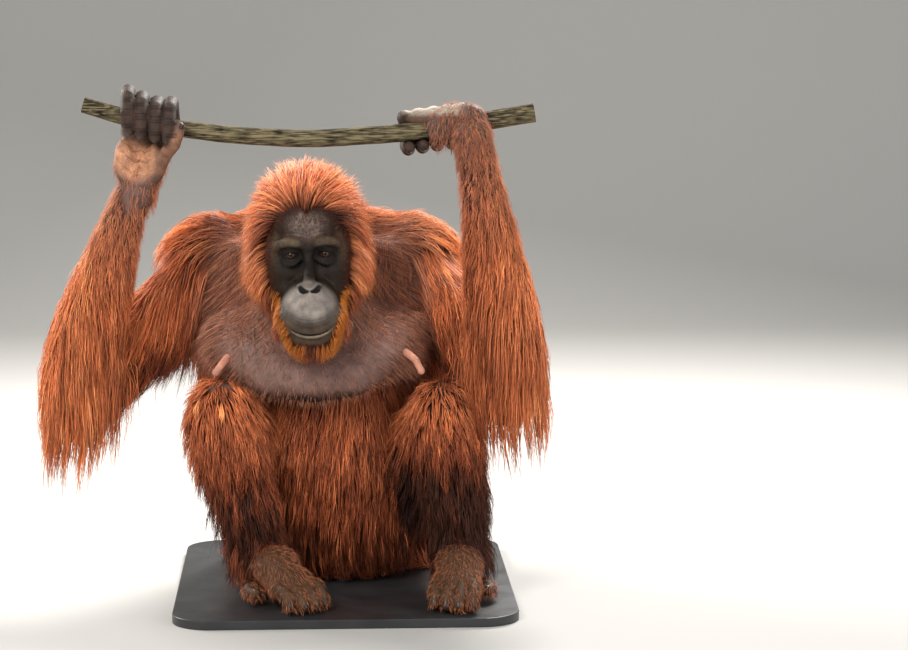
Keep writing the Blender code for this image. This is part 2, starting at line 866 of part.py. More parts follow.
def make_left_finger(index):
    x = LEFT_FINGERS[index]
    lift = FINGER_RADIUS + 0.0012
    points = wrap_points(x, 62, -118, 6, lift, slant=0.006)
    return finger(points, FINGER_RADIUS)


def make_left_thumb():
    points = [
        Vector((0.214, -0.214, 0.744)),
        Vector((0.226, -0.190, 0.744)),
        Vector((0.230, -0.172, 0.732)),
        Vector((0.226, -0.164, 0.716)),
    ]
    return finger(points, 0.0092)


def make_vine():
    stations = [(Vector((x, VINE_Y, z)), r, r) for x, z, r in VINE]
    return tube(stations, 12, Vector((0, 0, 1)))


# Stand


def make_base():
    bm = bmesh.new()
    wide, deep, thick = BASE_SIZE
    outline = []
    for cx, cy, start in ((1, 1, 0), (-1, 1, 90), (-1, -1, 180), (1, -1, 270)):
        corner = Vector((cx * (wide / 2 - BASE_CORNER), cy * (deep / 2 - BASE_CORNER), 0))
        for step in range(7):
            turn = math.radians(start + 15 * step)
            outline.append(corner + Vector((math.cos(turn), math.sin(turn), 0)) * BASE_CORNER)
    middle = Vector((*BASE_MIDDLE, 0))
    face = bm.faces.new([bm.verts.new(middle + p) for p in outline])
    raised = bmesh.ops.extrude_face_region(bm, geom=[face])
    top = [v for v in raised["geom"] if isinstance(v, bmesh.types.BMVert)]
    bmesh.ops.translate(bm, verts=top, vec=(0, 0, thick))
    bmesh.ops.translate(bm, verts=bm.verts, vec=(0, 0, -SEAT))
    return object_from(bm)


def make_rod(body):
    """A short rod from the base to the underside of the belly."""
    tree = BVHTree.FromObject(body, bpy.context.evaluated_depsgraph_get())
    above = tree.ray_cast(Vector((*ROD_PLACE, 0.0)), Vector((0, 0, 1)))[0]
    stations = [(Vector((*ROD_PLACE, z)), ROD_RADIUS, ROD_RADIUS) for z in (0.0, above.z + ROD_RADIUS)]
    return tube(stations, 12)


# The coat of each part

MIDLINE = Vector((-0.010, 0.045, 0))


def falling(spread):
    """A lie that falls straight down and spreads a little from the body's middle."""

    def lead(place, up):
        out = Vector((place.x - MIDLINE.x, place.y - MIDLINE.y, 0))
        return DOWN + out.normalized() * spread

    return lead


def toward(target, weight):
    """A lie that runs towards a joint, and falls."""

    def lead(place, up):
        return (target - place).normalized() * weight + DOWN

    return lead


def dress(name, coat):
    """Joins the coat to its node, which stays clear of its neighbours and above the seat."""
    node = NODES[name]
    finish = node.data.materials[0]
    coat.onto(node)
    if reach(node)[0][2] < 0:
        cut_flat(node, (0, 0, 0), (0, 0, -1))
    node.data.materials.clear()
    node.data.materials.append(finish)


def others(*names):
    return [NODES[name] for name in names]


def ring_rows(coat, start, end, rows, size):
    """Locks in rings round a limb; rows are (share, how many, from angle, to angle) with 0 in front."""
    ahead = (end - start).normalized()
    side = ahead.cross(Vector((0, 1, 0))).normalized()
    front = side.cross(ahead)
    for share, count, first, last in rows:
        inside = start.lerp(end, share)
        for k in range(count):
            turn = math.radians(first + (last - first) * (k + 0.5) / count + coat.chance.uniform(-6, 6))
            away = front * math.cos(turn) + side * math.sin(turn)
            coat.grow(*coat.outermost(inside, away), **size)


TORSO_ROWS = (
    (0.590, 5, 95, 265, 0.120),
    (0.520, 7, 75, 285, 0.130),
    (0.435, 6, 92, 268, 0.130),
    (0.350, 7, 80, 280, 0.130),
    (0.265, 6, 92, 268, 0.130),
    (0.180, 7, 80, 280, 0.120),
    (0.105, 6, 95, 265, 0.090),
)
BELLY_ROWS = (
    (0.285, 4, -36, 36, 0.115),
    (0.220, 5, -44, 44, 0.110),
    (0.155, 4, -36, 36, 0.105),
    (0.100, 5, -44, 44, 0.080),
)
BACK_LOCK = {"width": 0.062, "rise": 0.017}
BELLY_LOCK = {"width": 0.050, "rise": 0.015}


def coat_torso():
    avoid = [n for key, n in NODES.items() if key.startswith(("thigh", "upper_arm", "breast", "throat", "head", "shin"))]
    coat = Coat(NODES["torso"], falling(0.15), 11, avoid)
    for rows, size in ((TORSO_ROWS, BACK_LOCK), (BELLY_ROWS, BELLY_LOCK)):
        for height, count, first, last, length in rows:
            inside = Vector((MIDLINE.x + 0.02 * (0.5 - height), MIDLINE.y, height))
            for k in range(count):
                turn = math.radians(first + (last - first) * (k + 0.5) / count + coat.chance.uniform(-3, 3))
                away = Vector((math.sin(turn), -math.cos(turn), 0))
                coat.grow(*coat.outermost(inside, away), length=length, **size)
    dress("torso", coat)


# Rows of locks round the head: height above its centre and angle from the front, both in degrees
HEAD_ROWS = (
    (80, 4, 45, 405, 0.070, 0.050),
    (50, 7, -180, 180, 0.066, 0.048),
    (20, 5, 110, 250, 0.075, 0.048),
    (24, 2, -88, -48, 0.070, 0.040),
    (24, 2, 48, 88, 0.070, 0.040),
    (-4, 2, -100, -58, 0.070, 0.040),
    (-4, 2, 58, 100, 0.070, 0.040),
    (-30, 2, -92, -56, 0.065, 0.038),
    (-30, 2, 56, 92, 0.065, 0.038),
)


def rows_round(coat, centre, rows, rise):
    for height, count, first, last, length, width in rows:
        tilt = math.radians(height)
        for k in range(count):
            turn = math.radians(first + (last - first) * (k + 0.5) / count + coat.chance.uniform(-4, 4))
            away = Vector((math.sin(turn) * math.cos(tilt), -math.cos(turn) * math.cos(tilt), math.sin(tilt)))
            coat.grow(*coat.outermost(centre, away), length, width, rise, thickness=0.008)


def coat_head():
    centre = head_matrix() @ Vector((0, -0.030, 0.010))

    def lead(place, up):
        out = place - centre
        return DOWN * 1.4 + Vector((out.x, 0, 0)) * 6 + Vector((0, out.y, 0)) * 2

    avoid = others("face", "jaw", "throat_pouch", "breast_left", "breast_right", "torso")
    coat = Coat(NODES["head"], lead, 23, avoid)
    rows_round(coat, centre, HEAD_ROWS, 0.013)
    dress("head", coat)


BEARD_ROWS = (
    (-20, 2, -75, -30, 0.040, 0.026),
    (-20, 2, 30, 75, 0.040, 0.026),
    (-50, 3, -50, 50, 0.042, 0.028),
)


def coat_beard():
    centre = head_matrix() @ Vector((0, -0.085, -0.100))
    coat = Coat(NODES["beard"], falling(0.2), 29, others("jaw", "face", "throat_pouch"))
    rows_round(coat, centre, BEARD_ROWS, 0.008)
    dress("beard", coat)


# Rows of locks round a limb: share of its length, how many, from angle, to angle
UPPER_ARM_ROWS = ((0.20, 4, 0, 360), (0.55, 5, 30, 390))
FOREARM_ROWS = ((0.86, 4, 20, 380), (0.60, 5, 0, 360), (0.34, 5, 30, 390))
THIGH_ROWS = ((0.35, 3, 40, 220), (0.66, 4, 0, 200), (0.96, 4, -90, 180))
SHIN_ROWS = ((0.10, 4, -90, 160), (0.42, 4, -110, 170), (0.76, 4, -90, 190))


def coat_limb(name, start, end, rows, size, lead, seed, fringe=()):
    avoid = [n for key, n in NODES.items() if key != name and key != "stand_base"]
    coat = Coat(NODES[name], lead, seed, avoid)
    ring_rows(coat, start, end, rows, size)
    for share, across, length in fringe:
        inside = start.lerp(end, share)
        away = DOWN + Vector((across, 0.1, 0))
        place, up = coat.outermost(inside, away)
        coat.grow(place, up, length, 0.044, 0.016, free=0.3, hang=2.5)
    dress(name, coat)


# Locks that hang free below the arm: share of its length, slant across, length
ARM_FRINGE = (
    (0.16, -1.2, 0.130),
    (0.06, -0.5, 0.125),
    (0.00, 0.1, 0.120),
    (0.08, 0.8, 0.115),
    (0.26, -1.5, 0.125),
    (0.26, 1.2, 0.110),
)
UPPER_FRINGE = ((0.94, 0.2, 0.120), (0.80, -0.2, 0.110), (0.66, 0.2, 0.100), (0.50, -0.1, 0.090))


def mirrored(rows, side):
    """Rows of a left limb, from those of a right limb."""
    if side == "right":
        return rows
    return tuple((share, count, -first, -last) for share, count, first, last in rows)


def coat_limbs():
    for side in ("right", "left"):
        seed = 31 if side == "right" else 47
        size = {"length": 0.110, "width": 0.046, "rise": 0.015}
        lead = toward(ELBOW[side] + DOWN * 0.2, 1.0)
        coat_limb(f"forearm_{side}", ELBOW[side], WRIST[side], FOREARM_ROWS, size, lead, seed, ARM_FRINGE)
        lead = toward(ELBOW[side], 1.2)
        coat_limb(
            f"upper_arm_{side}", SHOULDER[side], ELBOW[side], UPPER_ARM_ROWS, size, lead, seed + 1, UPPER_FRINGE
        )
        size = {"length": 0.100, "width": 0.046, "rise": 0.014}
        coat_limb(f"thigh_{side}", HIP[side], KNEE[side], mirrored(THIGH_ROWS, side), size, falling(0.1), seed + 2)
        coat_limb(f"shin_{side}", KNEE[side], ANKLE[side], mirrored(SHIN_ROWS, side), size, falling(0.1), seed + 3)


def build():
    clear_scene()
    sides = ("right", "left")
    back, face, jaw, room = make_head_shapes()
    store("face", face, "face")
    store("jaw", jaw, "face", apart=True)
    for side, sign in zip(sides, (-1, 1)):
        store(f"eye_{side}", make_eye(sign), "eye", apart=True)
    store("head", make_hood(back, room), "coat")
    for side, sign in zip(sides, (-1, 1)):
        store(f"ear_{side}", make_ear(sign), "skin")
    store("beard", make_beard(), "coat")
    store("torso", make_torso(), "coat")
    store("neck", make_neck(), "coat_dark")
    fold = make_chest_fold()
    low, high = FOLD_CUTS
    right = cut_flat(copy_of(fold), (low - GAP, 0, 0), (1, 0, 0))
    left = cut_flat(copy_of(fold), (high + GAP, 0, 0), (-1, 0, 0))
    cut_flat(fold, (low, 0, 0), (-1, 0, 0))
    cut_flat(fold, (high, 0, 0), (1, 0, 0))
    store("breast_right", right, "skin")
    store("breast_left", left, "skin")
    store("throat_pouch", fold, "skin")
    for side in sides:
        store(f"nipple_{side}", make_nipple(side), "nipple")
    for side in sides:
        store(f"upper_arm_{side}", make_upper_arm(side), "coat")
        store(f"forearm_{side}", make_forearm(side), "coat")
    store("vine", make_vine(), "bark")
    store("palm_right", make_right_palm(), "skin")
    store("palm_left", make_left_palm(), "skin")
    for index in range(4):
        store(f"finger_right_{index + 1}", make_right_finger(index), "skin")
        store(f"finger_left_{index + 1}", make_left_finger(index), "skin")
    store("thumb_right", make_right_thumb(), "skin")
    store("thumb_left", make_left_thumb(), "skin")
    for side in sides:
        store(f"thigh_{side}", make_thigh(side), "coat")
        store(f"shin_{side}", make_shin(side), "coat")
        store(f"foot_{side}", make_foot(side), "coat_dark")
        for index in range(4):
            store(f"toe_{side}_{index + 1}", make_toe(side, index), "coat_dark")
        store(f"big_toe_{side}", make_big_toe(side), "coat_dark")
    coat_torso()
    coat_head()
    coat_beard()
    coat_limbs()
    store("stand_base", make_base(), "stand", apart=True)
    store("stand_rod", make_rod(NODES["torso"]), "stand")
    for node in NODES.values():
        node.data.transform(Matrix.Translation((0, 0, SEAT)))


build()
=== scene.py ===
# %% [markdown]
# # A seated orangutan that holds a vine
# The solids of this part are wide, faceted locks. This script dresses them: one smooth skin under
# the coat, a coat of many thousand thin tapered tufts, wet eyes, nails, bark on the vine and a plain
# stand. All lengths are metres, +Z is up, and she faces -Y, so her right side is at -X.

import math
import time

import bpy
import numpy as np
from mathutils import Matrix, Vector


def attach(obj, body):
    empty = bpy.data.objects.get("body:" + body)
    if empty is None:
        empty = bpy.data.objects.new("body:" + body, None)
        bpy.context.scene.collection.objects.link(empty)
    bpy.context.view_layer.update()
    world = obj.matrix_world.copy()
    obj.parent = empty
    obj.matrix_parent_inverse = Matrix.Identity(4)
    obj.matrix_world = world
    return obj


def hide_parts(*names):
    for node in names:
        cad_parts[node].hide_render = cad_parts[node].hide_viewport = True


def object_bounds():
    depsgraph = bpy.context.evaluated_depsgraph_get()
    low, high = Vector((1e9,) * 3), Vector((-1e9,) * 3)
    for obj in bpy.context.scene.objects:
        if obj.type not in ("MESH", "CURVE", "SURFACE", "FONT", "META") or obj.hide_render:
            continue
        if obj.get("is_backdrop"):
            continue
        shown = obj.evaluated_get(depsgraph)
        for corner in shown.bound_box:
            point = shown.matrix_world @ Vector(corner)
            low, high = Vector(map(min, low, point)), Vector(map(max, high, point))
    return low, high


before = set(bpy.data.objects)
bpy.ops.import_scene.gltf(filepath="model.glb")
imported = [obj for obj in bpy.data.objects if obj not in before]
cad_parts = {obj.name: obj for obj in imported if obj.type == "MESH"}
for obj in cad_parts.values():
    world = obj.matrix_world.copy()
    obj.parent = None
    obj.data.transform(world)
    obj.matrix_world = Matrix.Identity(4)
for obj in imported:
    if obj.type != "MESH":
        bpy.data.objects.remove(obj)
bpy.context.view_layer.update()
started = time.time()
SEAT = 0.0143
SIDES = ("right", "left")


def told(*what):
    """Prints what was made and how long the script has run."""
    print(*what, f"after {time.time() - started:.1f} s")


# %% [markdown]
# ## The pose
# A sitting ape is easiest to describe by its joints. These are the same places that the solids use,
# given above the seat, the level that the rump and the feet rest on. Everything is lifted by the
# seat's height as its mesh is made.

# %% Joints, head and vine
HIP = {"right": (-0.070, 0.050, 0.105), "left": (0.112, 0.050, 0.105)}
KNEE = {"right": (-0.150, -0.150, 0.285), "left": (0.190, -0.150, 0.278)}
ANKLE = {"right": (-0.097, -0.150, 0.072), "left": (0.217, -0.150, 0.072)}
TOE = {"right": (-0.040, -0.268, 0.028), "left": (0.200, -0.272, 0.028)}
SHOULDER = {"right": (-0.170, 0.025, 0.500), "left": (0.143, 0.025, 0.500)}
ELBOW = {"right": (-0.372, -0.090, 0.300), "left": (0.285, -0.165, 0.335)}
WRIST = {"right": (-0.270, -0.188, 0.640), "left": (0.226, -0.236, 0.712)}
for joint in (HIP, KNEE, ANKLE, TOE, SHOULDER, ELBOW, WRIST):
    for side in SIDES:
        joint[side] = np.array(joint[side])
HEAD_PLACE = np.array((-0.0185, -0.120, 0.530))
HEAD_ROLL = math.radians(-2.3)
VINE_Y = -0.200
VINE = np.array(
    (
        (-0.352, 0.754, 0.0122),
        (-0.256, 0.725, 0.0126),
        (-0.134, 0.708, 0.0130),
        (-0.015, 0.702, 0.0132),
        (0.120, 0.710, 0.0136),
        (0.240, 0.727, 0.0142),
        (0.322, 0.741, 0.0146),
    )
)


def vine_at(x):
    """The vine's middle and radius at a place along X."""
    middle = np.array((x, VINE_Y, np.interp(x, VINE[:, 0], VINE[:, 1])))
    return middle, float(np.interp(x, VINE[:, 0], VINE[:, 2]))


def head_to_world(points):
    """Places given in the head's own frame, between the eyes, as places above the seat."""
    cos, sin = math.cos(HEAD_ROLL), math.sin(HEAD_ROLL)
    x, y, z = np.moveaxis(np.asarray(points, float), -1, 0)
    return np.stack([x * cos + z * sin, y, z * cos - x * sin], -1) + HEAD_PLACE


print("eye line at", head_to_world((0, -0.096, 0)).round(3), "above the seat")

# %% [markdown]
# ## Flesh as distances
# Muscles, fat and bone run into each other with no edge between them. A modeller could sculpt that,
# or fuse balls with a remesh. Here each lump is a formula that says how far a point is from its
# surface, negative inside, and lumps are mixed with a rounded minimum, so that they blend like clay.
# The distances are kept on a grid, and the same grid later tells each hair where the skin is.

# %% Lumps: balls and bones
FAR = 0.06


class Ball:
    """An ellipsoid, turned by tilt about X and by yaw about Z, in degrees."""

    def __init__(self, centre, radii, tilt=0.0, yaw=0.0):
        self.centre = np.array(centre, float)
        self.radii = np.array(radii if hasattr(radii, "__len__") else (radii,) * 3, float)
        turn = Matrix.Rotation(math.radians(yaw), 3, "Z") @ Matrix.Rotation(math.radians(tilt), 3, "X")
        self.turn = np.array(turn)
        self.low = self.centre - self.radii.max()
        self.high = self.centre + self.radii.max()

    def distance(self, x, y, z):
        dx, dy, dz = x - self.centre[0], y - self.centre[1], z - self.centre[2]
        near, nearer = 0.0, 0.0
        for k in range(3):
            along = dx * self.turn[0, k] + dy * self.turn[1, k] + dz * self.turn[2, k]
            near = near + (along / self.radii[k]) ** 2
            nearer = nearer + (along / self.radii[k] ** 2) ** 2
        near = np.sqrt(near)
        return near * (near - 1) / np.maximum(np.sqrt(nearer), 1e-6)


class Bone:
    """A rod with round ends from a to b, whose radius goes from ra to rb."""

    def __init__(self, a, b, ra, rb):
        self.a, self.b = np.array(a, float), np.array(b, float)
        self.ra, self.rb = ra, rb
        widest = max(ra, rb)
        self.low = np.minimum(self.a, self.b) - widest
        self.high = np.maximum(self.a, self.b) + widest

    def distance(self, x, y, z):
        span = self.b - self.a
        dx, dy, dz = x - self.a[0], y - self.a[1], z - self.a[2]
        t = np.clip((dx * span[0] + dy * span[1] + dz * span[2]) / (span @ span), 0, 1)
        off = np.sqrt((dx - t * span[0]) ** 2 + (dy - t * span[1]) ** 2 + (dz - t * span[2]) ** 2)
        return off - (self.ra + t * (self.rb - self.ra))


class Chain:
    """Bones end to end through (x, y, z, radius) points, with no swelling where they meet."""

    def __init__(self, points):
        self.bones = [Bone(a[:3], b[:3], a[3], b[3]) for a, b in zip(points, points[1:])]
        self.low = np.min([bone.low for bone in self.bones], axis=0)
        self.high = np.max([bone.high for bone in self.bones], axis=0)

    def distance(self, x, y, z):
        return np.minimum.reduce([bone.distance(x, y, z) for bone in self.bones])


def chain(points):
    return [Chain(points)]


def rod(start, end, sizes, bow=(0, 0, 0), steps=12):
    """A limb between joints, with sizes as (share of the way, radius), bent by bow in its middle."""
    shares, radii = np.array(sizes).T
    finer = np.linspace(shares[0], shares[-1], steps)[:, None]
    places = start + (end - start) * finer + np.array(bow, float) * 4 * finer * (1 - finer)
    return chain(np.hstack([places, np.interp(finer, shares, radii)]))


# %% Grids of distances
def rounded_least(a, b, blend):
    """The lesser of two distances, with a fillet of about the size blend where they are alike."""
    overlap = np.maximum(blend - np.abs(a - b), 0)
    return np.minimum(a, b) - overlap * overlap / (4 * blend)


class Flesh:
    """Distances from the skin on a regular grid: negative inside, and FAR where no skin is near."""

    def __init__(self, low, high, step):
        self.low, self.step = np.array(low, float), step
        self.count = np.ceil((np.array(high) - self.low) / step).astype(int) + 1
        self.values = np.full(self.count, FAR, np.float32)

    def window(self, shape, margin):
        first = np.floor((shape.low - margin - self.low) / self.step).astype(int)
        last = np.ceil((shape.high + margin - self.low) / self.step).astype(int) + 1
        first, last = np.clip(first, 0, self.count), np.clip(last, 0, self.count)
        places = [self.low[k] + self.step * np.arange(first[k], last[k]) for k in range(3)]
        spans = tuple(slice(a, b) for a, b in zip(first, last))
        return spans, np.meshgrid(*places, indexing="ij", sparse=True)

    def add(self, shapes, blend, reach=0.03):
        for shape in shapes:
            window, places = self.window(shape, reach)
            distance = shape.distance(*places)
            self.values[window] = rounded_least(self.values[window], distance, blend)

    def carve(self, shapes, blend):
        for shape in shapes:
            window, places = self.window(shape, blend + 2 * self.step)
            distance = shape.distance(*places)
            self.values[window] = -rounded_least(-self.values[window], distance, blend)

    def at(self, points):
        """The distance at each point, between the grid's own."""
        where = (points - self.low) / self.step
        where = np.clip(where, 0, self.count - 1.001)
        cell = where.astype(int)
        part = where - cell
        total = 0.0
        for i, j, k in np.ndindex(2, 2, 2):
            x, y, z = np.abs(1 - np.array((i, j, k)) - part).T
            total = total + x * y * z * self.values[cell[:, 0] + i, cell[:, 1] + j, cell[:, 2] + k]
        return total

    def outward(self, points):
        """The way out of the skin at each point."""
        slope = np.empty_like(points)
        for k in range(3):
            shift = np.zeros(3)
            shift[k] = self.step
            slope[:, k] = self.at(points + shift) - self.at(points - shift)
        size = np.linalg.norm(slope, axis=1, keepdims=True)
        return slope / np.maximum(size, 1e-9)


# %% [markdown]
# A grid of distances becomes a mesh by surface nets: each cell that the skin passes through gets one
# point, at the mean of where the skin crosses its edges, and each grid edge that the skin crosses
# gets one four-sided face between the four cells round it.

# %% From distances to a mesh
def skin_net(flesh):
    """Points and four-sided faces of the surface where the distance is nought."""
    values = flesh.values
    inside = values < 0
    share = np.zeros(tuple(n - 1 for n in values.shape), np.int8)
    for corner in np.ndindex(2, 2, 2):
        share += inside[tuple(slice(o, n - 1 + o) for o, n in zip(corner, values.shape))]
    mixed = (share > 0) & (share < 8)
    cells = np.argwhere(mixed)
    number = np.full(mixed.shape, -1, np.int32)
    number[mixed] = np.arange(len(cells))
    total, hits = np.zeros((len(cells), 3)), np.zeros(len(cells))
    for axis in range(3):
        step = np.eye(3, dtype=int)[axis]
        u, v = (np.eye(3, dtype=int)[k] for k in range(3) if k != axis)
        for shift in (0 * u, u, v, u + v):
            a = cells + shift
            va, vb = values[tuple(a.T)], values[tuple((a + step).T)]
            crossed = (va < 0) != (vb < 0)
            t = va[crossed] / (va[crossed] - vb[crossed])
            total[crossed] += a[crossed] + t[:, None] * step
            hits[crossed] += 1
    points = flesh.low + flesh.step * total / hits[:, None]
    faces = []
    for axis in range(3):
        step = np.eye(3, dtype=int)[axis]
        u, v = (np.eye(3, dtype=int)[k] for k in ((axis + 1) % 3, (axis + 2) % 3))
        lower = tuple(slice(0, n - 1) if k == axis else slice(1, n - 1) for k, n in enumerate(values.shape))
        upper = tuple(slice(1, n) if k == axis else slice(1, n - 1) for k, n in enumerate(values.shape))
        for leaving in (True, False):
            crossed = (inside[lower] == leaving) & (inside[upper] != leaving)
            found = np.argwhere(crossed) + u + v
            corners = [number[tuple((found - shift).T)] for shift in (u + v, v, 0 * u, u)]
            faces.append(np.stack(corners if leaving else corners[::-1], 1))
    return points, np.concatenate(faces)


def placed(name, data):
    """An object at the origin that shows the data."""
    obj = bpy.data.objects.new(name, data)
    bpy.context.scene.collection.objects.link(obj)
    return obj


def mesh_object(name, points, faces, smooth=True):
    """A mesh from arrays, above the seat, with its faces turned smooth."""
    sides = faces.shape[1]
    mesh = bpy.data.meshes.new(name)
    mesh.vertices.add(len(points))
    mesh.vertices.foreach_set("co", (points + (0, 0, SEAT)).astype(np.float32).ravel())
    mesh.loops.add(faces.size)
    mesh.loops.foreach_set("vertex_index", faces.astype(np.int32).ravel())
    mesh.polygons.add(len(faces))
    mesh.polygons.foreach_set("loop_start", np.arange(0, faces.size, sides, dtype=np.int32))
    mesh.update(calc_edges=True)
    mesh.polygons.foreach_set("use_smooth", np.full(len(faces), smooth))
    return placed(name, mesh)


def note(obj, **marks):
    """Keeps numbers for each point of a mesh, for its material to read."""
    for name, values in marks.items():
        attribute = obj.data.attributes.new(name, "FLOAT", "POINT")
        attribute.data.foreach_set("value", np.asarray(values, np.float32))

# %% [markdown]
# ## The body under the coat
# A thin coat of flesh would look starved, and the solids already hold the coat's depth, so every
# radius here is the solid's less the depth of the coat on it.

# %% Trunk
TRUNK = np.array(
    (
        (0.022, 0.075, 0.022, 0.085, 0.066),
        (0.022, 0.058, 0.060, 0.128, 0.118),
        (0.022, 0.032, 0.130, 0.142, 0.148),
        (0.018, 0.024, 0.210, 0.145, 0.158),
        (0.010, 0.028, 0.300, 0.142, 0.155),
        (0.000, 0.040, 0.390, 0.140, 0.134),
        (-0.008, 0.048, 0.470, 0.132, 0.108),
        (-0.012, 0.052, 0.540, 0.100, 0.078),
        (-0.012, 0.050, 0.580, 0.052, 0.040),
    )
)


def smoothed(rings, steps=60):
    """The same rings, more of them, with their steps rounded off."""
    heights = np.linspace(rings[0, 2], rings[-1, 2], steps)
    finer = np.stack([np.interp(heights, rings[:, 2], rings[:, k]) for k in range(rings.shape[1])], 1)
    for _ in range(12):
        finer[1:-1] = (finer[:-2] + 2 * finer[1:-1] + finer[2:]) / 4
    return finer


class Trunk:
    """A stack of ovals, given as (x, y, z, half width, half depth)."""

    def __init__(self, rings):
        self.rings = rings = smoothed(rings)
        sizes = np.stack([rings[:, 3], rings[:, 4], rings[:, 4] * 0], 1)
        self.low, self.high = (rings[:, :3] - sizes).min(0), (rings[:, :3] + sizes).max(0)

    def distance(self, x, y, z):
        cx, cy, wide, deep = (np.interp(z, self.rings[:, 2], self.rings[:, k]) for k in (0, 1, 3, 4))
        across, ahead = (x - cx) / wide, (y - cy) / deep
        near = np.sqrt(across**2 + ahead**2)
        nearer = np.sqrt((across / wide) ** 2 + (ahead / deep) ** 2)
        side = near * (near - 1) / np.maximum(nearer, 1e-6)
        return np.maximum(side, np.maximum(self.rings[0, 2] - z, z - self.rings[-1, 2]))


def torso():
    lumps = [Trunk(TRUNK)]
    for side, out in zip(SIDES, (-1, 1)):
        lumps.append(Ball(SHOULDER[side] + (0, 0.008, 0.002), 0.060))
        lumps.append(Ball((out * 0.136 - 0.012, 0.030, 0.405), (0.036, 0.062, 0.105)))
    lumps.append(Ball((0.158, 0.035, 0.355), (0.036, 0.060, 0.085)))
    for middle in (-0.064, 0.110):
        lumps.append(Ball((middle, 0.074, 0.078), (0.066, 0.085, 0.075)))
    lumps.append(Ball((-0.012, 0.046, 0.508), (0.172, 0.070, 0.074)))
    lumps.append(Ball((-0.006, 0.058, 0.420), (0.150, 0.114, 0.108)))
    lumps.append(Ball((-0.015, -0.040, 0.515), (0.070, 0.082, 0.060)))
    return lumps


# The fold of nearly bare skin over the belly, as (x, y, z, radius)
FOLD = (
    (-0.150, -0.104, 0.400, 0.024),
    (-0.134, -0.140, 0.373, 0.031),
    (-0.074, -0.174, 0.343, 0.035),
    (-0.013, -0.184, 0.335, 0.035),
    (0.046, -0.174, 0.343, 0.035),
    (0.110, -0.140, 0.377, 0.031),
    (0.130, -0.104, 0.404, 0.024),
)


def chest():
    lumps = chain(FOLD)
    lumps.append(Ball((-0.013, -0.118, 0.398), (0.118, 0.050, 0.062)))
    lumps.append(Ball((-0.016, -0.100, 0.440), (0.058, 0.056, 0.054)))
    for side in (-1, 1):
        lumps.append(Ball((side * 0.100 - 0.012, -0.040, 0.440), (0.058, 0.050, 0.092), yaw=side * 20))
    return lumps


# %% Limbs, as (share of the way, radius)
UPPER_ARM = ((0.0, 0.052), (0.25, 0.047), (0.60, 0.044), (0.92, 0.039), (1.0, 0.036))
FOREARM = ((0.0, 0.036), (0.18, 0.045), (0.45, 0.040), (0.75, 0.031), (0.92, 0.027), (1.0, 0.025))
THIGH = ((0.0, 0.066), (0.30, 0.064), (0.70, 0.054), (0.95, 0.045), (1.0, 0.044))
SHIN = ((0.0, 0.043), (0.25, 0.044), (0.50, 0.039), (0.80, 0.031), (1.0, 0.031))


def flat_ahead(side):
    """The way a foot points, level with the floor, and the way to its inner side."""
    ahead = TOE[side] - ANKLE[side]
    ahead[2] = 0
    ahead = ahead / np.linalg.norm(ahead)
    inward = np.cross((0, 0, 1), ahead) * (-1 if side == "right" else 1)
    return ahead, inward


def foot(side):
    ankle, toe = ANKLE[side], TOE[side]
    ahead, _ = flat_ahead(side)
    heel = ankle - ahead * 0.033
    heel[2] = 0.027
    lumps = [Ball(heel, (0.026, 0.031, 0.027)), Ball(ankle + (0, 0, -0.010), (0.030, 0.033, 0.034))]
    lumps.append(Ball(ankle + (toe - ankle) * 0.45 + (0, 0, 0.001), (0.034, 0.048, 0.027)))
    lumps.append(Ball(ankle + (toe - ankle) * 0.80, (0.035, 0.034, 0.023)))
    return lumps


FOREARM_BOW = {"right": (-0.015, 0.0, 0.0), "left": (0.004, 0.0, 0.0)}

PARTS = {"torso": torso(), "chest": chest()}
for side in SIDES:
    PARTS[f"upper_arm_{side}"] = rod(SHOULDER[side], ELBOW[side], UPPER_ARM)
    PARTS[f"forearm_{side}"] = rod(ELBOW[side], WRIST[side], FOREARM, FOREARM_BOW[side])
    PARTS[f"thigh_{side}"] = rod(HIP[side], KNEE[side], THIGH)
    PARTS[f"shin_{side}"] = rod(KNEE[side], ANKLE[side], SHIN)
    PARTS[f"foot_{side}"] = foot(side)
PART_NAMES = list(PARTS)


def part_of(points):
    """Which part's lumps each point is nearest to, as its place in PART_NAMES."""
    near = np.stack([np.min([s.distance(*points.T) for s in PARTS[n]], axis=0) for n in PART_NAMES])
    return near.argmin(0)


def distance_to(part, points):
    return np.min([shape.distance(*points.T) for shape in PARTS[part]], axis=0)


BODY_STEP = 0.0065
body = Flesh((-0.46, -0.36, -0.02), (0.40, 0.26, 0.74), BODY_STEP)
for name in ("torso", "upper_arm_right", "upper_arm_left", "forearm_right", "forearm_left"):
    body.add(PARTS[name], 0.022)
body.add(PARTS["chest"], 0.044)
legs = [name for name in PART_NAMES if name.startswith(("thigh", "shin"))]
for name in legs:
    body.add(PARTS[name], 0.012)
for side in SIDES:
    body.add(PARTS[f"foot_{side}"], 0.012)
body_points, body_faces = skin_net(body)
told("body skin:", len(body_faces), "faces")

# %% [markdown]
# ## The head
# The face is what makes her an orangutan: a tall bare oval, two small arched brows, eyes set close
# and deep, a tiny nose on a long round muzzle and a wide thin mouth. It gets a finer grid than the
# body, in the head's own frame, and more lumps. What lies deeper is carved with a rounded edge.

# %% Head lumps, given for one side and mirrored
EYE_HALF_SPACING, EYE_DEPTH, EYE_RADIUS = 0.0255, -0.0960, 0.0103


def both(make):
    """The shapes that make(-1) and make(1) give, for the right and the left."""
    return [*make(-1), *make(1)]


def skull():
    return [
        Ball((0, -0.026, 0.022), (0.063, 0.080, 0.080)),
        Ball((0, -0.062, 0.046), (0.050, 0.044, 0.050)),
        Ball((0, -0.048, -0.048), (0.050, 0.058, 0.062)),
    ]


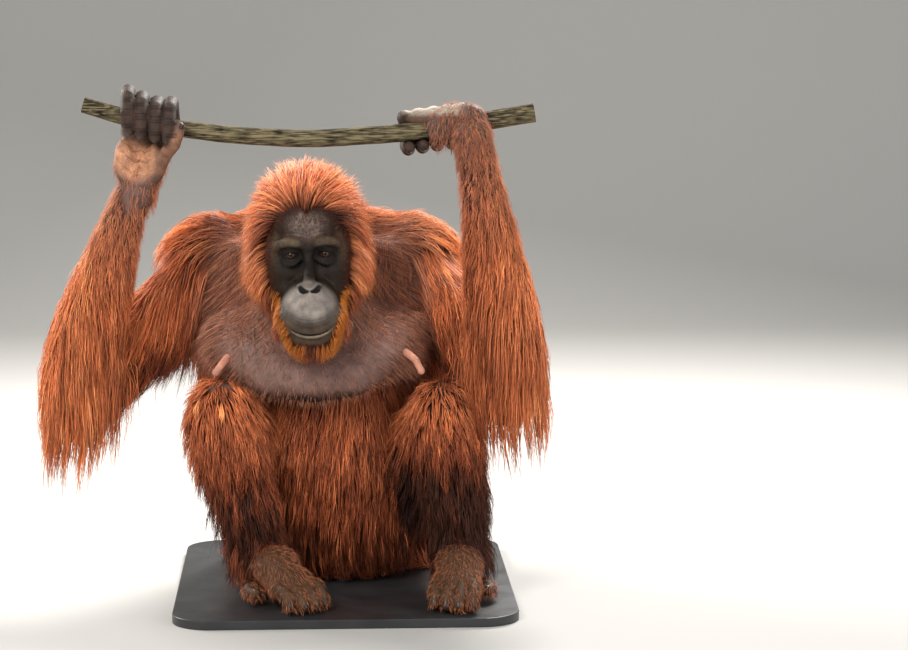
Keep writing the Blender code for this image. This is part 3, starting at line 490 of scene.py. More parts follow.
def muzzle():
    return [
        Ball((0, -0.108, -0.076), (0.0455, 0.062, 0.041), tilt=9),
        Ball((0, -0.139, -0.082), (0.0400, 0.038, 0.036), tilt=6),
        Ball((0, -0.126, -0.093), (0.0475, 0.043, 0.029), tilt=12),
        Ball((0, -0.100, -0.108), (0.038, 0.060, 0.027), tilt=6),
        Ball((0, -0.138, -0.119), (0.025, 0.022, 0.017)),
    ]


def cheek(side):
    return [
        Ball((side * 0.049, -0.070, -0.006), (0.015, 0.024, 0.030)),
        Ball((side * 0.043, -0.062, -0.040), (0.020, 0.034, 0.040)),
        Ball((side * 0.033, -0.086, -0.026), (0.016, 0.018, 0.013), yaw=side * -25),
    ]


def pair(line):
    """A chain of (x, y, z, radius) points on the right, and the same on the left."""
    return both(lambda side: chain([(side * x, y, z, r) for x, y, z, r in line]))


BROW = (
    (0.004, -0.1085, 0.0125, 0.0072),
    (0.015, -0.1130, 0.0185, 0.0082),
    (0.028, -0.1110, 0.0205, 0.0084),
    (0.041, -0.1010, 0.0170, 0.0082),
    (0.051, -0.0850, 0.0060, 0.0078),
)
NOSE_BRIDGE = (
    (0, -0.103, 0.008, 0.0070),
    (0, -0.1130, -0.012, 0.0068),
    (0, -0.1290, -0.030, 0.0082),
    (0, -0.1425, -0.0400, 0.0092),
)


def nose():
    wings = both(lambda side: [Ball((side * 0.0120, -0.1420, -0.0450), (0.0078, 0.0090, 0.0066), tilt=-20)])
    return chain(NOSE_BRIDGE) + wings


HEAD_STEP = 0.0016
head = Flesh((-0.090, -0.215, -0.160), (0.090, 0.080, 0.120), HEAD_STEP)
head.add(skull(), 0.020)
head.add(both(cheek), 0.018)
head.add(muzzle(), 0.016)
head.add(pair(BROW), 0.009)
head.add(nose(), 0.007)
told("head grid:", head.count, "places")

# %% [markdown]
# The eye sits in a socket, and two lids close round it. The socket is carved, then a ball a little
# larger than the eye is added back as lids, and an almond is cut out of that, so that the lids have
# a real edge with the wet eye behind it.

# %% Sockets, lids and bags
LID = 0.0026


def socket(side):
    return [Ball((side * 0.0265, -0.1140, 0.0010), (0.0165, 0.0135, 0.0105))]


def lids(side):
    return [Ball((side * EYE_HALF_SPACING, EYE_DEPTH, 0), EYE_RADIUS + LID)]


def almond(side):
    middle = (side * EYE_HALF_SPACING, EYE_DEPTH - 0.0110, -0.0002)
    return [Ball(middle, (0.0096, 0.0180, 0.0046), yaw=side * 12)]


BAG = (
    (0.0135, -0.1040, -0.0080, 0.0024),
    (0.0200, -0.1068, -0.0122, 0.0032),
    (0.0270, -0.1072, -0.0140, 0.0034),
    (0.0340, -0.1035, -0.0125, 0.0030),
    (0.0400, -0.0960, -0.0075, 0.0022),
)
UPPER_FOLD = (
    (0.0150, -0.1040, 0.0072, 0.0016),
    (0.0240, -0.1062, 0.0104, 0.0018),
    (0.0335, -0.1030, 0.0088, 0.0017),
    (0.0385, -0.0970, 0.0040, 0.0014),
)
head.carve(both(socket), 0.006)
head.add(both(lids), 0.004)
head.add(pair(BAG), 0.0055)
head.add(pair(UPPER_FOLD), 0.0025)
head.carve(both(almond), 0.0008)

# %% Mouth, lips, nostrils and creases
MOUTH_LOW, MOUTH_CORNER, MOUTH_HALF_WIDTH = -0.1130, -0.0850, 0.0460


def on_front(flesh, x, z, start=-0.200):
    """Where a line from in front, at each x and z, meets the skin."""
    spots = np.stack([x, np.full(len(x), start), z], 1)
    for _ in range(60):
        spots[:, 1] += np.clip(flesh.at(spots), -0.004, 0.004) * 0.8
    return spots


mouth_x = MOUTH_HALF_WIDTH * np.sin(np.radians(np.linspace(-90, 90, 25)))
mouth_z = MOUTH_LOW + (MOUTH_CORNER - MOUTH_LOW) * (np.abs(mouth_x) / MOUTH_HALF_WIDTH) ** 2.4
MOUTH = on_front(head, mouth_x, mouth_z)


def along_mouth(lift, sink, radius):
    """A rod along the smile, set up and into the skin, thinner to the corners."""
    thin = 0.30 + 0.70 * np.sqrt(np.clip(1 - (mouth_x / MOUTH_HALF_WIDTH) ** 2, 0, 1))
    spots = MOUTH + (0, 0, 1) * thin[:, None] * lift + (0, 1, 0) * thin[:, None] * sink
    return chain([(*spot, radius * t) for spot, t in zip(spots, thin)])


head.add(along_mouth(0.0060, 0.0025, 0.0048), 0.010)
head.add(along_mouth(-0.0032, 0.0016, 0.0029), 0.004)
head.carve(along_mouth(0.0, -0.0010, 0.0013), 0.0020)


def on_skin(line, side):
    """A chain of (x, z, radius) points laid on the front of the head, on one side."""
    x, z, radius = np.array(line).T
    return chain([(*spot, r) for spot, r in zip(on_front(head, side * x, z), radius)])


# The nostrils are commas that start beside the middle and flare up and out
NOSTRIL = (
    (0.0048, -0.0492, 0.0025), (0.0080, -0.0490, 0.0036), (0.0114, -0.0474, 0.0034),
    (0.0142, -0.0440, 0.0020)
)
WING_CREASE = (
    (0.0190, -0.0360, 0.0006), (0.0205, -0.0440, 0.0009), (0.0180, -0.0515, 0.0009),
    (0.0110, -0.0560, 0.0006)
)
CHEEK_CREASE = ((0.0230, -0.0340, 0.0008), (0.0340, -0.0440, 0.0012), (0.0430, -0.0620, 0.0010))
PHILTRUM = ((0.0, -0.0560, 0.0006), (0.0, -0.0700, 0.0010), (0.0, -0.0860, 0.0006))
nostrils = both(lambda side: on_skin(NOSTRIL, side))
grooves = both(lambda side: on_skin(WING_CREASE, side)) + on_skin(PHILTRUM, 1)
creases = both(lambda side: on_skin(CHEEK_CREASE, side))
head.carve(grooves, 0.0034)
head.carve(creases, 0.0060)
head.carve(nostrils, 0.0014)
head_points, head_faces = skin_net(head)
told("head skin:", len(head_faces), "faces")

# %% [markdown]
# ## Hands and feet
# Long hooked fingers carry an orangutan, so the hands are modelled finger by finger. Fingers that
# lie side by side must not run together, so they are joined to each other with hardly any rounding,
# and only the whole set is blended into the palm. The grid is finer again.

# %% Fingers and thumbs, as (x, y, z, radius)
FINGERS = {"right": (-0.2200, -0.2425, -0.2650, -0.2870), "left": (0.1930, 0.1710, 0.1490, 0.1275)}
KNUCKLES = (1.08, 0.98, 1.13, 0.98, 1.10, 0.99, 0.86)
FINGER_RADIUS, HAND_STEP = 0.0104, 0.0018


def right_finger(index):
    """From the knuckle behind the vine, up, over its top and down its front."""
    x = FINGERS["right"][index]
    top = vine_at(x)[0][2]
    rise = (0.0048, 0.0026, 0.0054, 0.0080)[index]
    path = ((0.032, 0.000), (0.029, 0.020 + rise / 2), (0.010, 0.030 + rise), (-0.013, 0.025 + rise))
    path += ((-0.026, 0.008), (-0.0260, -0.007), (-0.0215, -0.0165))
    lean = (0.003, 0.001, 0.0, -0.002)[index]
    spots = [(x - lean * k / 3, VINE_Y + y, top + z) for k, (y, z) in enumerate(path)]
    return [(*spot, FINGER_RADIUS * size) for spot, size in zip(spots, KNUCKLES)]


def left_finger(index):
    """From the knuckle on top of the vine, down behind it and round below."""
    spots = []
    for t, size in zip(np.linspace(0, 1, 7), KNUCKLES):
        middle, radius = vine_at(FINGERS["left"][index] + 0.006 * t)
        turn = math.radians(62 - 180 * t)
        reach = radius + FINGER_RADIUS + 0.0010
        spots.append(
            (*(middle + (0, math.cos(turn) * reach, math.sin(turn) * reach)), FINGER_RADIUS * size)
        )
    return spots


def digits_of(side):
    """The four fingers' stations."""
    return [(right_finger if side == "right" else left_finger)(index) for index in range(4)]


def right_thumb():
    wrist = WRIST["right"]
    path = [(*(wrist + (0.026, -0.008, 0.020)), 0.0120), (*(wrist + (0.041, -0.018, 0.042)), 0.0108)]
    return path + [
        (-0.2165, -0.227, 0.696, 0.0098), (-0.2105, -0.232, 0.712, 0.0092),
        (-0.2085, -0.232, 0.7225, 0.0082)
    ]


def left_thumb():
    path = [(0.212, -0.212, 0.746, 0.0105), (0.226, -0.190, 0.744, 0.0098)]
    return path + [(0.230, -0.172, 0.732, 0.0092), (0.226, -0.164, 0.716, 0.0080)]


def palm(side):
    wrist, elbow = WRIST[side], ELBOW[side]
    lumps = [Bone(wrist + (elbow - wrist) * 0.22, wrist, 0.0275, 0.0262)]
    for index, (first, *_) in enumerate(digits_of(side)):
        spread = (1.5 - index) * (0.010 if side == "right" else 0.006)
        if side == "right":
            root = wrist + (spread, 0.006, 0.014)
            lumps.append(Bone(root, np.array(first[:3]) - (0, 0.002, 0), 0.0150, 0.0112))
        else:
            root = wrist + (spread - 0.004, 0.006 + index * 0.003, 0.024)
            lumps.append(Bone(root, np.array(first[:3]) + (0, -0.004, -0.0010), 0.0140, 0.0092))
    if side == "right":
        lumps.append(Ball(wrist + (0.024, -0.008, 0.028), (0.016, 0.015, 0.030)))
        lumps.append(Ball(wrist + (-0.024, -0.006, 0.030), (0.014, 0.014, 0.032)))
    else:
        lumps.append(Ball((0.190, -0.2170, 0.716), (0.030, 0.0150, 0.021), yaw=6))
        lumps.append(Ball((0.205, -0.2150, 0.735), (0.028, 0.0170, 0.016)))
    return lumps


def hand(side):
    """The skin of one hand, with the end of its forearm."""
    low = np.array((-0.325, -0.265, 0.600) if side == "right" else (0.100, -0.275, 0.660))
    high = np.array((-0.180, -0.130, 0.815) if side == "right" else (0.270, -0.130, 0.810))
    whole, fingers = Flesh(low, high, HAND_STEP), Flesh(low, high, HAND_STEP)
    whole.add(palm(side), 0.010)
    for finger in digits_of(side):
        fingers.add(chain(finger), 0.0004)
    fingers.add(chain(right_thumb() if side == "right" else left_thumb()), 0.0004)
    whole.values = rounded_least(whole.values, fingers.values, 0.006)
    return whole


hands = {side: hand(side) for side in SIDES}
hand_nets = {side: skin_net(hands[side]) for side in SIDES}
print("hand skins:", [len(net[1]) for net in hand_nets.values()], "faces")

# %% Feet with curled toes
TOE_LENGTHS = (0.052, 0.060, 0.058, 0.048)
CURL = ((0.0, 0.030, 0.0092), (0.30, 0.034, 0.0096), (0.62, 0.031, 0.0092), (0.88, 0.023, 0.0094))
CURL += ((0.97, 0.0130, 0.0086), (0.86, 0.0092, 0.0078))
BIG_TOE = ((0.015, 0.0, 0.013), (0.040, 0.012, 0.011), (0.050, 0.034, 0.0095), (0.046, 0.050, 0.0085))


def toe(side, index):
    ahead, inward = flat_ahead(side)
    root = TOE[side] + inward * (1.5 - index) * 0.0188 - ahead * 0.012
    return [(*(root + ahead * TOE_LENGTHS[index] * share)[:2], up, radius) for share, up, radius in CURL]


def big_toe(side):
    ahead, inward = flat_ahead(side)
    start = ANKLE[side] + (TOE[side] - ANKLE[side]) * 0.30
    return [
        (*(start + inward * out + ahead * on)[:2], 0.0185, radius * 0.94) for out, on, radius in BIG_TOE
    ]


FOOT_STEP = 0.0026


def foot_flesh(side):
    low = np.minimum(ANKLE[side], TOE[side]) - (0.075, 0.075, 0.10)
    high = np.maximum(ANKLE[side], TOE[side]) + (0.075, 0.075, 0.040)
    whole, toes = Flesh(low, high, FOOT_STEP), Flesh(low, high, FOOT_STEP)
    whole.add(rod(KNEE[side], ANKLE[side], SHIN), 0.012)
    whole.add(foot(side), 0.014)
    for index in range(4):
        toes.add(chain(toe(side, index)), 0.0006)
    toes.add(chain(big_toe(side)), 0.0006)
    whole.values = rounded_least(whole.values, toes.values, 0.006)
    z = whole.low[2] + whole.step * np.arange(whole.count[2])
    whole.values = np.maximum(whole.values, (0.0004 - z)[None, None, :]).astype(np.float32)
    return whole


feet = {side: foot_flesh(side) for side in SIDES}
foot_nets = {side: skin_net(feet[side]) for side in SIDES}
told("foot skins:", [len(net[1]) for net in foot_nets.values()], "faces")

# %% [markdown]
# ## The coat
# Her hair is long, straight and sparse, so it hangs in strings with dark gaps between them. A
# particle system would draw that, but it would be lost outside Blender, so every string is a real
# three-sided tuft that narrows to a tip. Each one starts in the skin, leaves it with the lie of
# the coat, sinks under its own weight and is pushed out wherever the grid says that it is inside.
# Then neighbours are drawn together towards their tips, which makes the strings.

# %% Where tufts grow
rng = np.random.default_rng(7)
SHARE = 1.0
DOWN = np.array((0.0, 0.0, -1.0))


def unit(vectors):
    return vectors / np.maximum(np.linalg.norm(vectors, axis=-1, keepdims=True), 1e-9)


def fade(values, start, end):
    """0 before start, 1 after end, with a smooth rise between."""
    t = np.clip((values - start) / (end - start), 0, 1)
    return t * t * (3 - 2 * t)


def scatter(points, faces, thickness, count):
    """Random places on a mesh, as many for each square metre as thickness(points) asks in proportion."""
    a, b, c, d = (points[faces[:, k]] for k in range(4))
    areas = np.linalg.norm(np.cross(c - a, d - b), axis=1) / 2
    weight = areas * np.maximum(thickness((a + b + c + d) / 4), 0)
    count = int(count * SHARE)
    face = rng.choice(len(faces), count, p=weight / weight.sum())
    u, v = rng.random((2, count, 1))
    return (a[face] * (1 - u) + b[face] * u) * (1 - v) + (d[face] * (1 - u) + c[face] * u) * v


# %% How a tuft grows
def grow(flesh, roots, lie, length, depth, lift, hang, steps):
    """Paths of tufts, (count, steps + 1, 3), that follow lie(points, outward) and lie depth deep."""
    lie = tousled(lie, 0.16)
    outward = flesh.outward(roots)
    place = roots - outward * 0.003
    path = [place]
    heading = unit(slide(lie(roots, outward), outward) + outward * lift[:, None])
    stride = (length / steps)[:, None]
    for step in range(1, steps + 1):
        share = step / steps
        distance = flesh.at(place)[:, None]
        outward = np.where(distance < 0.03, flesh.outward(place), outward)
        wanted = depth[:, None] * share**0.6
        follow = slide(lie(place, outward), outward, fade(distance, 0.03, 0.012))
        push = np.clip((wanted - distance) / stride, -0.35, 0.9) * (distance < FAR / 2)
        turn = unit(follow) * 0.75 + outward * push + DOWN * (hang[:, None] * share)
        heading = unit(heading * 0.55 + turn * 0.75)
        place = place + heading * stride
        short = np.maximum(0.0012 * share - flesh.at(place), 0)[:, None]
        place = place + flesh.outward(place) * short
        path.append(place)
    return np.stack(path, 1)


def laid_down(paths, room=0.0025):
    """Lays what would hang below the seat out on it, as hair does that reaches the ground."""
    low = paths[:, :, 2]
    under = np.maximum(room - low, 0)
    middle = paths[:, :1] * (1, 1, 0)
    apart = (paths - paths.mean(axis=1, keepdims=True)) * (1, 1, 0)
    aside = unit(apart + (middle - (0.02, -0.02, 0)) * 0.05)
    laid = paths + aside * under[:, :, None] * 0.35
    laid[:, :, 2] = np.where(under > 0, room + 0.10 * under, low)
    return laid


SWIRL = rng.normal(0, 1, (3, 3)) * 60
SWIRL_START = rng.uniform(0, 2 * math.pi, 3)


def tousled(lie, how_much):
    """The same lie, led astray a little by slow waves that neighbours share."""

    def found(points, outward):
        shorter = np.sin(points @ SWIRL.T * 2.3 + SWIRL_START[::-1])
        wave = np.sin(points @ SWIRL + SWIRL_START) + 0.6 * shorter
        return unit(lie(points, outward)) + wave * how_much

    return found


def slide(lie, outward, how_much=1.0):
    """The lie with its part that points into the skin taken out."""
    inward = np.minimum((lie * outward).sum(1, keepdims=True), 0)
    return lie - outward * inward * how_much


def keep_out(paths, flesh, room):
    """Moves what has run into another part of the skin back out of it."""
    for step in range(2, paths.shape[1]):
        place = paths[:, step]
        deep = np.maximum(room * step / paths.shape[1] - flesh.at(place), 0)[:, None]
        paths[:, step:] += (flesh.outward(place) * deep)[:, None]
    return paths


# %% [markdown]
# Strings: some of the tufts lead, and each of the others is drawn towards the nearest leader, not at
# all at its root and most at its tip.


# %% Strings of tufts
def nearest(points, others, block=2000):
    """For each point, which of the others is nearest."""
    found = np.empty(len(points), int)
    size = (others**2).sum(1)
    for start in range(0, len(points), block):
        part = points[start : start + block]
        found[start : start + block] = (size - 2 * part @ others.T).argmin(1)
    return found


def gather(paths, each, hold, fray):
    """Draws tufts together in strings of about each tufts, and returns which string each is in."""
    leaders = rng.choice(len(paths), max(1, len(paths) // each), replace=False)
    string = nearest(paths[:, 0], paths[leaders, 0])
    share = np.linspace(0, 1, paths.shape[1])[None, :, None]
    leader = paths[leaders][string]
    start = paths[:, :1] - leader[:, :1]
    drawn = leader + start * (1 - share) + rng.normal(0, 1, (len(paths), 1, 3)) * fray * share
    pull = hold * share**0.8
    return paths * (1 - pull) + drawn * pull, string


def waver(paths, size, waves=1.6):
    """Gives each tuft a slight wave of its own."""
    count, steps = paths.shape[:2]
    share = np.linspace(0, 1, steps)[None, :, None]
    phase = rng.uniform(0, 2 * math.pi, (count, 1, 3))
    return paths + np.sin(phase + share * waves * 2 * math.pi) * share * size


# %% A coat piece: one mesh of many tufts
def unwrap(points):
    """Each place's spot on an unwrap of the skin: one tile for each part, by turn and by height."""
    part = part_of(points)
    part[np.linalg.norm(points - HEAD_PLACE, axis=1) < 0.145] = len(PART_NAMES)
    middles = [np.mean([(s.low + s.high) / 2 for s in PARTS[n]], axis=0) for n in PART_NAMES]
    off = points - np.array([*middles, HEAD_PLACE])[part]
    turn = np.arctan2(off[:, 0], -off[:, 1]) / (2 * math.pi) + 0.5
    height = np.clip(off[:, 2] / 0.7 + 0.5, 0, 1)
    column, row = part % 4, part // 4
    return np.stack([(column + 0.03 + 0.94 * turn) / 4, (row + 0.03 + 0.94 * height) / 4], 1)


PATCH = 0.003
NARROWING = (0.75, 1.0, 0.92, 0.74, 0.5, 0.3, 0.2)


def coat_piece(name, paths, outward, width, notes):
    """A mesh of three-sided tufts along the paths, with notes for the material and a bake map."""
    paths = laid_down(paths)
    count, rings = paths.shape[0], paths.shape[1] - 1
    ahead = unit(np.gradient(paths, axis=1))
    across = unit(np.cross(ahead, outward[:, None]))
    top = np.cross(across, ahead)
    share = np.linspace(0, 1, rings + 1)
    narrow = np.interp(share, np.linspace(0, 1, len(NARROWING)), NARROWING)[None, :rings, None]
    half = across[:, :rings] * narrow * width[:, None, None] / 2
    crest = top[:, :rings] * narrow * width[:, None, None] * 0.35
    middle, under = paths[:, :rings], crest * 0.4
    ring = np.stack([middle + half - under, middle + crest, middle - half - under], 2)
    points = np.concatenate([ring.reshape(count, -1, 3), paths[:, -1:]], 1)
    own = []
    for r in range(rings - 1):
        for k in range(3):
            a, b, c, d = 3 * r + k, 3 * r + (k + 1) % 3, 3 * r + 3 + (k + 1) % 3, 3 * r + 3 + k
            own += [(a, b, c), (a, c, d)]
    last, tip = 3 * (rings - 1), 3 * rings
    own += [(last + k, last + (k + 1) % 3, tip) for k in range(3)] + [(2, 1, 0)]
    each = points.shape[1]
    faces = (np.array(own)[None] + (np.arange(count) * each)[:, None, None]).reshape(-1, 3)
    obj = mesh_object(name, points.reshape(-1, 3), faces)
    place = np.append(np.repeat(share[:rings], 3), 1.0)
    note(obj, along=np.tile(place, count), **{key: np.repeat(value, each) for key, value in notes.items()})
    spot = unwrap(paths[:, 1])[:, None]
    side = np.append(np.tile([0.0, 0.5, 1.0], rings), 0.5)
    patch = np.stack([side, place], 1)[None] * PATCH
    layer = obj.data.uv_layers.new(name="OFBake")
    layer.data.foreach_set("uv", (spot + patch).reshape(-1, 2)[faces.ravel()].astype(np.float32).ravel())
    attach(obj, "root")
    COAT.append(obj)
    told(f"{name}: {count} tufts, {len(faces)} triangles")


COAT = []

# %% [markdown]
# ## Which hair grows where
# The lie of an orangutan's coat is easy to read: down the back and belly, from the shoulder and from
# the wrist to the elbow, where it hangs in a long fringe, and out from the face all round. Each part
# below has its own lie, length and shade. The shade goes from 0, dark maroon, to 1, bright orange.


# %% Markings that skin and coat share
def share_along(points, start, end):
    """How far along from start to end each place is, from 0 to 1."""
    span = end - start
    return np.clip((points - start) @ span / (span @ span), 0, 1)


def of_kind(names, *kinds):
    return np.any([np.char.startswith(names, kind) for kind in kinds], axis=0)


def thinly_haired(points):
    """1 over the chest and up to the neck and shoulders, where short mauve fur lets the skin show."""
    x, y, z = points.T
    aside = 1 - fade(np.abs(x + 0.012), 0.125, 0.185)
    to_knee = np.min([np.linalg.norm(points - KNEE[side], axis=1) for side in SIDES], axis=0)
    below_neck = fade(z, 0.335, 0.365) * (1 - fade(z, 0.55, 0.60))
    return fade(to_knee, 0.060, 0.085) * aside * fade(-y, -0.045, 0.0) * below_neck


def mauve_of(part, roots):
    """How far the hair is bleached to mauve: all of it on the chest, half of it by the wrists."""
    if part == "chest":
        return np.ones(len(roots))
    if part.startswith("forearm"):
        side = part.split("_")[1]
        return 0.55 * fade(share_along(roots, ELBOW[side], WRIST[side]), 0.55, 0.95)
    return thinly_haired(roots)


def lit_top_of_arm(points, side):
    """1 on top of an upper arm and 0 on its underside, for painted light on top and painted shade below."""
    share = share_along(points, SHOULDER[side], ELBOW[side])[:, None]
    axis = SHOULDER[side] + (ELBOW[side] - SHOULDER[side]) * share
    return fade((points - axis)[:, 2], -0.010, 0.034)


def warmth(points):
    """How orange the hair is at each place, from 0 to 1, with painted light and shade on the legs and upper
    arms.
    """
    names = np.array(PART_NAMES)[part_of(points)]
    x, y, z = points.T
    outer = fade(np.abs(x + 0.012), 0.17, 0.36)
    wrist = fade(z, 0.45, 0.62)
    warm = np.full(len(points), 0.50)
    warm = np.where((names == "torso") & (y < 0.0), 0.30 + 0.16 * fade(z, 0.05, 0.25), warm)
    warm = np.where((names == "torso") & (z > 0.47), 0.80 - 0.18 * fade(y, 0.02, 0.07), warm)
    warm = np.where(names == "chest", 0.22 + 0.22 * fade(z, 0.38, 0.48), warm)
    # painted shadow of her left arm on the front of the left leg, low down
    arm_shadow_on_leg = 0.22 * fade(x, 0.05, 0.15) * fade(-y, 0.03, 0.13)
    # painted light on the knee tops, and painted shade lower on the legs, most at the front
    leg_light_and_shade = 0.05 + 0.54 * fade(z, 0.15, 0.31) + 0.26 * fade(y, -0.13, 0.02) * (1 - fade(z, 0.15, 0.31))
    warm = np.where(of_kind(names, "thigh", "shin"), leg_light_and_shade - arm_shadow_on_leg * fade(-z, -0.29, -0.22), warm)
    warm = np.where(of_kind(names, "foot"), 0.16, warm)
    for side in SIDES:
        # painted light: the upper arm's hair is lighter on top, and painted shade makes it darker
        # underneath
        top = lit_top_of_arm(points, side)
        warm = np.where(names == f"upper_arm_{side}", 0.18 + 0.08 * outer + 0.48 * top, warm)
    return np.where(of_kind(names, "forearm"), 0.38 + 0.30 * outer + 0.10 * wrist, warm)


MIDLINE = np.array((-0.010, 0.045, 0.0))


def falls(spread, middle=MIDLINE):
    """A lie straight down that spreads a little from an upright line."""

    def lie(points, outward):
        return DOWN + unit((points - middle) * (1, 1, 0)) * spread

    return lie


def runs_to(target, weight):
    """A lie towards a joint that also falls."""

    def lie(points, outward):
        return unit(target - points) * weight + DOWN

    return lie


# %% Dressing one part of the body
def value_of(size, roots):
    """A size that may be one number or depend on the place."""
    return size(roots) if callable(size) else np.full(len(roots), float(size))


def grow_part(part, count, lie, length, depth, width, steps, shade=0.0, lift=0.35, hang=0.5, each=6,
              hold=0.6, where=None, varied=0.10):
    """Tufts on one part of the body skin, as paths, ways out, widths and notes."""

    def thickness(points):
        inside = part_of(points) == PART_NAMES.index(part)
        return inside * (1.0 if where is None else where(points))

    roots = scatter(body_points, body_faces, thickness, count)
    many = len(roots)
    stretch = rng.uniform(0.62, 1.18, many) * value_of(length, roots)
    layer = rng.uniform(0.2, 1.0, many) * value_of(depth, roots)
    lifts = lift * rng.uniform(0.4, 1.3, many)
    paths = grow(body, roots, lie, stretch, layer, lifts, value_of(hang, roots), steps)
    paths, string = gather(paths, each, hold, 0.004)
    paths = waver(paths, 0.004 if np.mean(stretch) > 0.06 else 0.0015)
    by_string = rng.normal(0, 1, string.max() + 1)[string]
    warm = np.clip(warmth(roots) + shade + varied * by_string, 0, 0.88)
    tone = np.clip(0.5 + 2 * varied * rng.normal(0, 1, many) + varied * by_string, 0, 1)
    widths = value_of(width, roots) * rng.uniform(0.7, 1.25, many) / 1.0
    notes = {"warmth": warm, "tone": tone, "mauve": mauve_of(part, roots)}
    return paths, body.outward(roots), widths, notes


def together(*sets):
    """Several sets of tufts with as many steps each, as one."""
    paths, outward, widths, notes = zip(*sets)
    keys = {key: np.concatenate([n[key] for n in notes]) for key in notes[0]}
    return np.concatenate(paths), np.concatenate(outward), np.concatenate(widths), keys


# %% Back, shoulders and belly
on_back = lambda p: ((p[:, 1] > 0.0) & (p[:, 2] < 0.50)) * 1.0
back = grow_part("torso", 6300, falls(0.16), 0.105, 0.022, 0.0032, 3, where=on_back)
coat_piece("coat_back", *back)


NAPE = np.array((-0.014, -0.030, 0.0))


def off_shoulders(points, outward):
    """From the neck out over the shoulder, then down."""
    out = unit((points - NAPE) * (1, 0.8, 0))
    return out * 0.8 + DOWN * (0.35 + 0.9 * fade(-points[:, 2], -0.55, -0.47))[:, None]


def on_shoulders(points):
    high = points[:, 2]
    return (high >= 0.46) * (0.6 + 0.6 * fade(high, 0.50, 0.54)) * (1 - 0.97 * thinly_haired(points))


shoulders = grow_part("torso", 4600, off_shoulders, 0.066, 0.020, 0.0021, 4, where=on_shoulders)
coat_piece("coat_shoulders", *shoulders)


def belly_length(points):
    return 0.085 + 0.020 * fade(-points[:, 2], -0.30, -0.15)


belly = grow_part("torso", 6900, falls(0.05), belly_length, 0.026, 0.0021, 3, hang=0.8, lift=0.5,
                  where=lambda p: ((p[:, 1] <= 0.0) & (p[:, 2] < 0.46)) * (1 - 0.9 * thinly_haired(p)))
coat_piece("coat_belly", *belly)


# %% Arms
def inner_side(points, side):
    """1 on the side of a forearm that faces the head, where the hair is short and lies close."""
    share = share_along(points, ELBOW[side], WRIST[side])
    axis = ELBOW[side][0] + (WRIST[side][0] - ELBOW[side][0]) * share
    inward = (points[:, 0] - axis) * (1 if side == "right" else -1)
    return fade(inward, -0.004, 0.024) * fade(share, 0.25, 0.45)


def inside_wrist(points):
    """1 on the bare stripe on the front of her right wrist, which faces the viewer."""
    x, y, z = points.T
    return fade(z, 0.575, 0.615) * (y < WRIST["right"][1] + 0.004) * (np.abs(x + 0.276) < 0.020)


for side in SIDES:
    shoulder, elbow, wrist = SHOULDER[side], ELBOW[side], WRIST[side]
    by_wrist = lambda p, a=elbow, b=wrist: fade(share_along(p, a, b), 0.30, 0.92)
    fringe = lambda p, f=by_wrist, s=side: (0.158 - 0.130 * f(p)) * (1 - 0.45 * inner_side(p, s))
    lower_depth = lambda p, f=by_wrist, s=side: (0.026 - 0.018 * f(p)) * (1 - 0.55 * inner_side(p, s))
    lower_width = lambda p, f=by_wrist: 0.0022 - 0.0013 * f(p)
    bare = 0.85 * (side == "right")
    bare_front = lambda p, f=by_wrist, bare=bare: (0.8 + 0.9 * f(p)) * (1 - bare * inside_wrist(p))
    below_elbow = runs_to(elbow + DOWN * 0.25, 1.0)
    lower = grow_part(f"forearm_{side}", 6700, below_elbow, fringe, lower_depth, lower_width, 3,
                      lift=0.42, hang=0.75, each=4, hold=0.5, where=bare_front)
    coat_piece(f"coat_forearm_{side}", *lower)
    armpit = lambda p, a=shoulder, b=elbow: 1 - fade(share_along(p, a, b), 0.15, 0.50)
    upper_length = lambda p, f=armpit: 0.088 + 0.055 * f(p)
    sinking = lambda p, f=armpit: 0.45 + 0.65 * f(p)
    to_elbow = lambda p, outward, f=armpit, a=elbow: unit(a - p) * (2.4 - 1.7 * f(p))[:, None] + DOWN
    upper = grow_part(f"upper_arm_{side}", 4800, to_elbow, upper_length, 0.025, 0.0022, 3, hang=sinking,
                      where=lambda p, f=armpit: 0.7 + 0.8 * f(p))
    coat_piece(f"coat_upper_arm_{side}", *upper)

# %% Legs, with hair as (part, tufts, depth, width)
LEG_HAIR = (("thigh", 3200, 0.022, 0.0021), ("shin", 2800, 0.020, 0.0020))
for side in SIDES:
    knee = KNEE[side]
    spread = falls(0.40, knee + (0, 0.07, 0))
    leg_length = lambda p, top=knee[2]: 0.075 - 0.030 * fade(p[:, 2], top - 0.05, top + 0.03)
    more_on_top = lambda p, top=knee[2]: 0.9 + 1.2 * fade(p[:, 2], top - 0.06, top + 0.01)
    leg = [
        grow_part(f"{part}_{side}", count, spread, leg_length, depth, width, 3, hang=0.6, where=more_on_top)
        for part, count, depth, width in LEG_HAIR
    ]
    coat_piece(f"coat_leg_{side}", *together(*leg))

# %% [markdown]
# ## The hood of hair and the beard
# Hair grows out from the bare face all round: back over the crown at the hairline, and outwards and
# down at its sides, where it makes a hood much wider than the skull. A short bright beard runs along
# each side of the muzzle, with a dark tuft in the middle of the chin.

# %% The bare face, in the head's frame
FACE_HEIGHTS = (-0.150, -0.135, -0.110, -0.085, -0.060, -0.030, 0.000, 0.025, 0.045, 0.060, 0.072)
FACE_WIDTHS = (0.012, 0.026, 0.039, 0.045, 0.050, 0.0595, 0.0625, 0.0600, 0.0500, 0.0350, 0.0020)


def outside_face(points):
    """How far each place on the head lies outside the edge of the bare face, about, in metres."""
    x, y, z = points.T
    edge = np.interp(z, FACE_HEIGHTS, FACE_WIDTHS)
    beside = np.abs(x) - edge
    above = z - 0.068 + 0.010 * np.exp(-((x / 0.008) ** 2))
    behind = y + 0.050
    below = -0.138 - z
    return np.maximum.reduce([beside, above * (y < 0), behind, below])


